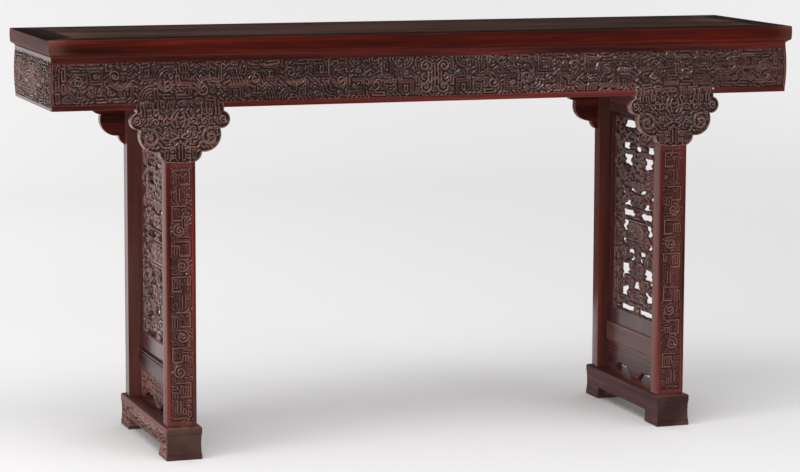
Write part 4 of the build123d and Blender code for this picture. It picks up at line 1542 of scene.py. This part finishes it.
# The carving of the pierced board, in shares of its field: across it from the seam, and up it.
# Blossoms are given by their centre and radius in millimetres, leaves by their root and tip.
BLOSSOMS = [(0, 0.915, 20), (0, 0.765, 29), (0.52, 0.697, 18)]
LEAVES = [
    ((0.22, 0.715), (0.84, 0.752)),
    ((0.82, 0.93), (0.48, 0.885)),
    ((0.56, 0.60), (0.84, 0.555)),
    ((0.04, 0.575), (0.40, 0.630)),
    ((0.60, 0.262), (0.24, 0.302)),
    ((0.84, 0.118), (0.44, 0.165)),
]
VASE_BANDS = (0.368, 0.386, 0.480, 0.498, 0.545)
VASE_RIBS = 5


def carve_blossom(relief, x, y, radius):
    """A round blossom of eight petals."""
    relief.ball(x, y, 0.30 * radius)
    reach = 0.70 * radius
    for k in range(8):
        angle = (k + 0.5) * math.pi / 4
        relief.ball(x + reach * math.cos(angle), y + reach * math.sin(angle), 0.27 * radius)


def carve_leaf(relief, root, tip, stroke):
    """A leaf's midrib with three pairs of veins."""
    (x0, y0), (x1, y1) = root, tip
    relief.ridge([root, tip], 0.8 * stroke)
    for share in (0.15, 0.42, 0.70):
        x, y = x0 + share * (x1 - x0), y0 + share * (y1 - y0)
        for side in (-1, 1):
            dx = 0.16 * (x1 - x0) - side * 0.20 * (y1 - y0)
            dy = 0.16 * (y1 - y0) + side * 0.20 * (x1 - x0)
            relief.ridge([(x, y), (x + dx, y + dy)], 0.75 * stroke, 0.9)


def carve_openwork(relief, stroke):
    """The flowers, leaves, vase and stand of the pierced board."""

    def spot(u, v):
        return u * FIELD_SIDE, FIELD_BOTTOM + v * (FIELD_TOP - FIELD_BOTTOM) - BOARD_LOW[2]

    for u, v, radius in BLOSSOMS:
        carve_blossom(relief, *spot(u, v), radius)
    for root, tip in LEAVES:
        carve_leaf(relief, spot(*root), spot(*tip), stroke)
    for v in VASE_BANDS:
        relief.ridge([spot(-0.1, v), spot(0.40, v)], 0.9 * stroke)
    for rib in range(VASE_RIBS):
        foot, belly = spot(0.06 * rib, 0.398), spot(0.083 * rib, 0.433)
        relief.ridge(arc_points(foot, belly, spot(0.050 * rib + 1e-3, 0.470), 8), 1.1 * stroke)


def leafy_growth(x, y):
    """How far the carved leaves reach into the openings, which they make wavy and slimmer. The
    fret's slots along the border keep their size."""
    wave = np.sin(x / 14.0 + 1.7 * np.sin(y / 9.0)) * np.sin(y / 6.8 + 1.3 * np.sin(x / 16.0))
    return np.where(x > FIELD_SIDE - FRET_DEPTH, 0.1, 1.6 + 1.0 * wave)


class ALTAR_OT_openwork(bpy.types.Operator):
    """Builds the pierced boards of both end panels, carved on both faces"""

    bl_idname = "altar_table.openwork"
    bl_label = "Openwork panels"

    def execute(self, context):
        carving = context.scene.altar_carving
        cell, stroke = (OPENWORK_COARSER * size for size in (carving.cell, carving.stroke))
        depth = carving.openwork_depth * 1000
        outline = wall_outline("left_openwork_back_board", BOARD_LOW[0], BOARD_HIGH[0])
        width, height = (BOARD_HIGH - BOARD_LOW)[1:]
        relief = Relief(width, height, carving.panel_step * 1000)
        board = CutBoard(relief.x, relief.y + BOARD_LOW[2], outline, leafy_growth, squeeze=0.2)
        carve_openwork(relief, carving.stroke * 1000)

        def in_field(x, z):
            upright = (z > FIELD_BOTTOM - FIELD_MARGIN) & (z < FIELD_TOP + FIELD_MARGIN)
            return (x < FIELD_SIDE + FIELD_MARGIN) & upright

        def allowed(x, y):
            return in_field(x, y + BOARD_LOW[2])

        fill_with_scrolls(relief, cell * 1000, stroke * 1000, carving.seed + 4, allowed)
        field = in_field(board.x, board.y)
        level = np.where(field, relief.level, 1)
        fall = rounded_drop(board.distance, OPENWORK_EASE) * (board.x > 0.5)
        surface = PANEL_THICKNESS / 2 - depth * (1 - level) - fall
        flat, faces, here = board.build(-surface, surface)
        # The rims of the openings and of the seam are marked as bare ground, so the walls between
        # the faces get the painted shade.
        level = np.where(field, np.where(board.rim, 0, level), FLAT)[here]
        marks = np.concatenate((level, level))
        points = in_leg_frame(flat)
        for side, turn in SIDES:
            for end, flip in (("back", 1), ("front", -1)):
                node, place = f"{side}_openwork_{end}_board", points * (turn, flip, 1)
                new_piece(node, place, faces, panel_wood(), marks)
        return {"FINISHED"}


def arch_growth(y, z):
    """How far the carved lower edge hangs down into the arches of a lower panel."""
    return 4.0 + 1.2 * np.cos(y / 5.0)


class ALTAR_OT_lower_panels(bpy.types.Operator):
    """Builds the lower panels, with their shaped lower edge and carved outer field"""

    bl_idname = "altar_table.lower_panels"
    bl_label = "Lower panels"

    def execute(self, context):
        carving = context.scene.altar_carving
        low_z, high_z = LOWER_LOW[2], MID_LOW[2]
        outline = wall_outline("left_lower_panel", LOWER_LOW[0], LOWER_HIGH[0])
        relief = Relief(2 * LEG_INNER, high_z - low_z, carving.panel_step * 1000)

        def in_field(y, z):
            distance, _, _, inside = outline_field(outline, y, z)
            inside &= (z < high_z - LOWER_BORDER) & (abs(y) < LEG_INNER - LOWER_SIDE_BORDER)
            return inside & (distance > LOWER_BORDER)

        def allowed(x, y):
            return in_field(x - LEG_INNER, y + low_z)

        cell, stroke = carving.cell * 1000, carving.stroke * 1000
        fill_with_scrolls(relief, cell, stroke, carving.seed + 5, allowed)
        xs, ys = relief.x - LEG_INNER, relief.y + low_z
        board = CutBoard(xs, ys, outline, arch_growth, squeeze=3.0)
        carved = in_field(board.x, board.y)
        depth, half = 0.8 * carving.depth * 1000, PANEL_THICKNESS / 2
        points, faces, marks = carve_outer_face(
            board, relief.level, carved, depth, half, LOWER_EASE
        )
        new_pair("lower_panel", points, faces, lower_wood(), marks)
        return {"FINISHED"}


# ---- Runners ----


def runner_hollow(z):
    """How far a runner's side lies in from its widest, up its height."""
    base, top = RUNNER_BASE, RUNNER_TOP - RUNNER_TOP_BAND
    share = np.clip((z - base) / (top - base), 0, 1)
    hollow = RUNNER_WAIST * 4 * share * (1 - share)
    over = np.clip((z - (RUNNER_TOP - RUNNER_CROWN)) / RUNNER_CROWN, 0, 1)
    return hollow + RUNNER_CROWN * (1 - np.sqrt(1 - over**2))


def runner_outline(half_length):
    """A runner seen from its side, with its pads and the cut-out between them."""
    shoulder = RUNNER_TOP - RUNNER_CROWN
    crown = shoulder + RUNNER_CROWN * np.sin(np.linspace(0.2, math.pi / 2, 7))
    heights = np.concatenate((np.linspace(0, shoulder, 20), crown))
    right = [(half_length - runner_hollow(z), z) for z in heights]
    inner, high, bend = half_length - PAD_LENGTH, CUTOUT_HEIGHT, CUTOUT_BEND
    turn = (inner - 0.3 * bend, high - 0.3 * bend)
    arch = [(inner, 0.0)] + arc_points((inner, high - bend), turn, (inner - bend, high), 6)
    left, left_arch = ([(-y, z) for y, z in side] for side in (right[::-1], arch))
    return closed_outline(right + left + left_arch + arch[::-1])


class ALTAR_OT_runners(bpy.types.Operator):
    """Builds the runners under the leg frames, carved on their outer side"""

    bl_idname = "altar_table.runners"
    bl_label = "Runners"

    def execute(self, context):
        carving = context.scene.altar_carving
        half_length, half_width = RUNNER_HIGH[1], (RUNNER_HIGH[0] - RUNNER_LOW[0]) / 2
        relief = Relief(2 * half_length, RUNNER_TOP, carving.panel_step * 1000)

        def in_field(y, z):
            on_pads = abs(y) > half_length - PAD_LENGTH - CUTOUT_OVERLAP
            upright = (z > RUNNER_BORDER) & (z < RUNNER_TOP - RUNNER_BORDER_TOP)
            upright &= on_pads | (z > CUTOUT_HEIGHT + CUTOUT_BORDER)
            return (abs(y) < half_length - RUNNER_BORDER) & upright

        def allowed(x, y):
            return in_field(x - half_length, y)

        cell, stroke = (RUNNER_COARSER * size for size in (carving.cell, carving.stroke))
        fill_with_scrolls(relief, cell * 1000, stroke * 1000, carving.seed + 6, allowed)
        board = CutBoard(relief.x - half_length, relief.y, runner_outline(half_length))
        carved = in_field(board.x, board.y)
        depth, half = carving.depth * 1000, half_width - runner_hollow(board.y)
        points, faces, marks = carve_outer_face(
            board, relief.level, carved, depth, half, RUNNER_EASE
        )
        new_pair("runner", points, faces, runner_wood(), marks)
        return {"FINISHED"}


# ---- Studio ----


PAPER_REACH = 14.0

# Soft lights: name, place, target, width and height, and the setting that holds the power
LIGHTS = [
    ("top_softbox", (-1.0, -1.2, 3.6), (0.1, 0.2, 0.3), (3.0, 1.8), "top_power"),
    ("left_softbox", (-4.3, -1.2, 1.5), (0, 0, 0.5), (2.4, 2.4), "side_power"),
    ("front_key", (-2.6, -4.4, 3.2), (0, 0, 0.6), (1.0, 0.8), "key_power"),
    ("right_fill", (2.8, -4.6, 2.6), (0.3, 0, 0.6), (1.2, 1.0), "fill_power"),
    ("backdrop_wash_left", (-3.2, 2.6, 3.4), (-3.2, 7.0, 0.6), (3.0, 1.2), "wash_power"),
    ("backdrop_wash_right", (7.2, 2.6, 3.4), (7.2, 7.0, 0.6), (3.0, 1.2), "wash_power"),
]


def stage_piece(name, points, faces, material):
    """A piece of the studio."""
    mesh = bpy.data.meshes.new(name)
    mesh.from_pydata(points, [], faces)
    mesh.materials.append(material)
    piece = new_object(name, mesh)
    return piece


def make_sheet(name, profile, material):
    """A wide sheet of studio paper along a profile of distances back and heights."""
    points = [(x, y, z) for x in (-PAPER_REACH, PAPER_REACH) for y, z in profile]
    count = len(profile)
    faces = [(k, k + 1, count + k + 1, count + k) for k in range(count - 1)]
    sheet = stage_piece(name, points, faces, material)
    sheet.data.polygons.foreach_set("use_smooth", np.ones(len(faces), bool))
    return sheet


def make_backdrop(studio):
    """A pale sweep behind the table, and the floor in front of it, which the polish of the
    table doesn't mirror."""
    paper = plain_stage_material("studio_paper", studio.floor)
    front, bend_start, radius, arc = -1.5, 4.2, 3.2, 0.92
    bend = [
        (bend_start + radius * math.sin(angle), radius * (1 - math.cos(angle)))
        for angle in np.linspace(0, arc, 17)
    ]
    make_sheet("studio_sweep", [(front, 0.0)] + bend, paper)
    near_floor = make_sheet("studio_floor", [(-PAPER_REACH, 0.0), (front, 0.0)], paper)
    near_floor.visible_glossy = False


def make_flag():
    """A dark board that only the polish mirrors, so the right end frame isn't washed out."""
    cloth = plain_stage_material("studio_flag_cloth", (0.10, 0.08, 0.08))
    corners = [(x, 1.5, z) for x, z in ((-0.35, 0.0), (0.8, 0.0), (0.8, 0.88), (-0.35, 0.88))]
    flag = stage_piece("studio_flag", corners, [(0, 1, 2, 3)], cloth)
    flag.visible_camera = False
    flag.visible_diffuse = False
    flag.visible_shadow = False


def area_light(name, place, target, size, power):
    """A soft rectangular light that faces a target."""
    data = bpy.data.lights.new(name, "AREA")
    data.shape = "RECTANGLE"
    data.size, data.size_y = size
    data.energy = power
    lamp = new_object(name, data)
    direction = Vector(target) - Vector(place)
    lamp.rotation_euler = direction.to_track_quat("-Z", "Y").to_euler()
    lamp.location = place
    lamp.visible_camera = False
    return lamp


def make_camera():
    """The camera at the table's left front, a little above it."""
    yaw, pitch, roll = 0.3430, 0.1267, 0.0050
    focal_px, centre = 2863.52, (439.74, 196.51)
    width, height = 800, 472
    place = (-2.0695, -6.0204, 1.3306)
    ahead, aside = math.cos(yaw) * math.cos(pitch), math.sin(yaw) * math.cos(pitch)
    forward = np.array((aside, ahead, -math.sin(pitch)))
    level = np.array((math.cos(yaw), -math.sin(yaw), 0))
    above = np.cross(level, forward)
    right = level * math.cos(roll) + above * math.sin(roll)
    up = -level * math.sin(roll) + above * math.cos(roll)
    data = bpy.data.cameras.new("studio_camera")
    data.sensor_width = 36.0
    data.lens = focal_px * data.sensor_width / width
    data.shift_x = (width / 2 - centre[0]) / width
    data.shift_y = (centre[1] - height / 2) / width
    data.clip_end = 100
    camera = new_object("studio_camera", data)
    basis = np.column_stack((right, up, -forward))
    camera.matrix_world = Matrix.Translation(place) @ Matrix(basis.tolist()).to_4x4()
    bpy.context.scene.camera = camera


class ALTAR_OT_studio(bpy.types.Operator):
    """Builds the pale floor and backdrop, the soft lights and the camera"""

    bl_idname = "altar_table.studio"
    bl_label = "Studio"

    def execute(self, context):
        scene = context.scene
        studio = scene.altar_studio
        make_backdrop(studio)
        make_flag()
        for name, place, target, size, power in LIGHTS:
            lamp = area_light(name, place, target, size, getattr(studio, power))
            lamp.visible_diffuse = name != "front_key"
        world = bpy.data.worlds.new("studio_room")
        scene.world = world
        world.use_nodes = True
        sockets = world.node_tree.nodes["Background"].inputs
        sockets["Color"].default_value = (1, 1, 1, 1)
        sockets["Strength"].default_value = studio.ambient
        world.cycles_visibility.glossy = False
        scene.view_settings.view_transform = "Standard"
        scene.view_settings.look = "None"
        make_camera()
        return {"FINISHED"}


# ---- Panel and registration ----

OPERATORS = [
    ALTAR_OT_top_frame,
    ALTAR_OT_top_boards,
    ALTAR_OT_aprons,
    ALTAR_OT_heads,
    ALTAR_OT_legs,
    ALTAR_OT_stretchers,
    ALTAR_OT_openwork,
    ALTAR_OT_lower_panels,
    ALTAR_OT_runners,
    ALTAR_OT_studio,
]


class ALTAR_PT_table(bpy.types.Panel):
    """Lists the pieces of the altar table"""

    bl_idname = "ALTAR_PT_table"
    bl_label = "Altar Table"
    bl_space_type = "VIEW_3D"
    bl_region_type = "UI"
    bl_category = "Altar Table"

    def draw(self, context):
        for group in ("altar_carving", "altar_wood", "altar_studio"):
            settings = getattr(context.scene, group)
            box = self.layout.box()
            for name in settings.__annotations__:
                box.prop(settings, name)
        for operator in OPERATORS:
            self.layout.operator(operator.bl_idname)


CLASSES = [ALTAR_PG_carving, ALTAR_PG_wood, ALTAR_PG_studio, *OPERATORS, ALTAR_PT_table]


def register():
    """Registers the classes and the settings."""
    for item in CLASSES:
        bpy.utils.register_class(item)
    bpy.types.Scene.altar_carving = bpy.props.PointerProperty(type=ALTAR_PG_carving)
    bpy.types.Scene.altar_wood = bpy.props.PointerProperty(type=ALTAR_PG_wood)
    bpy.types.Scene.altar_studio = bpy.props.PointerProperty(type=ALTAR_PG_studio)


def unregister():
    """Takes the classes and the settings away again."""
    del bpy.types.Scene.altar_studio
    del bpy.types.Scene.altar_wood
    del bpy.types.Scene.altar_carving
    for item in reversed(CLASSES):
        bpy.utils.unregister_class(item)


def main():
    """Builds every piece."""
    register()
    for operator in OPERATORS:
        group, name = operator.bl_idname.split(".")
        getattr(getattr(bpy.ops, group), name)()


if __name__ == "__main__":
    main()
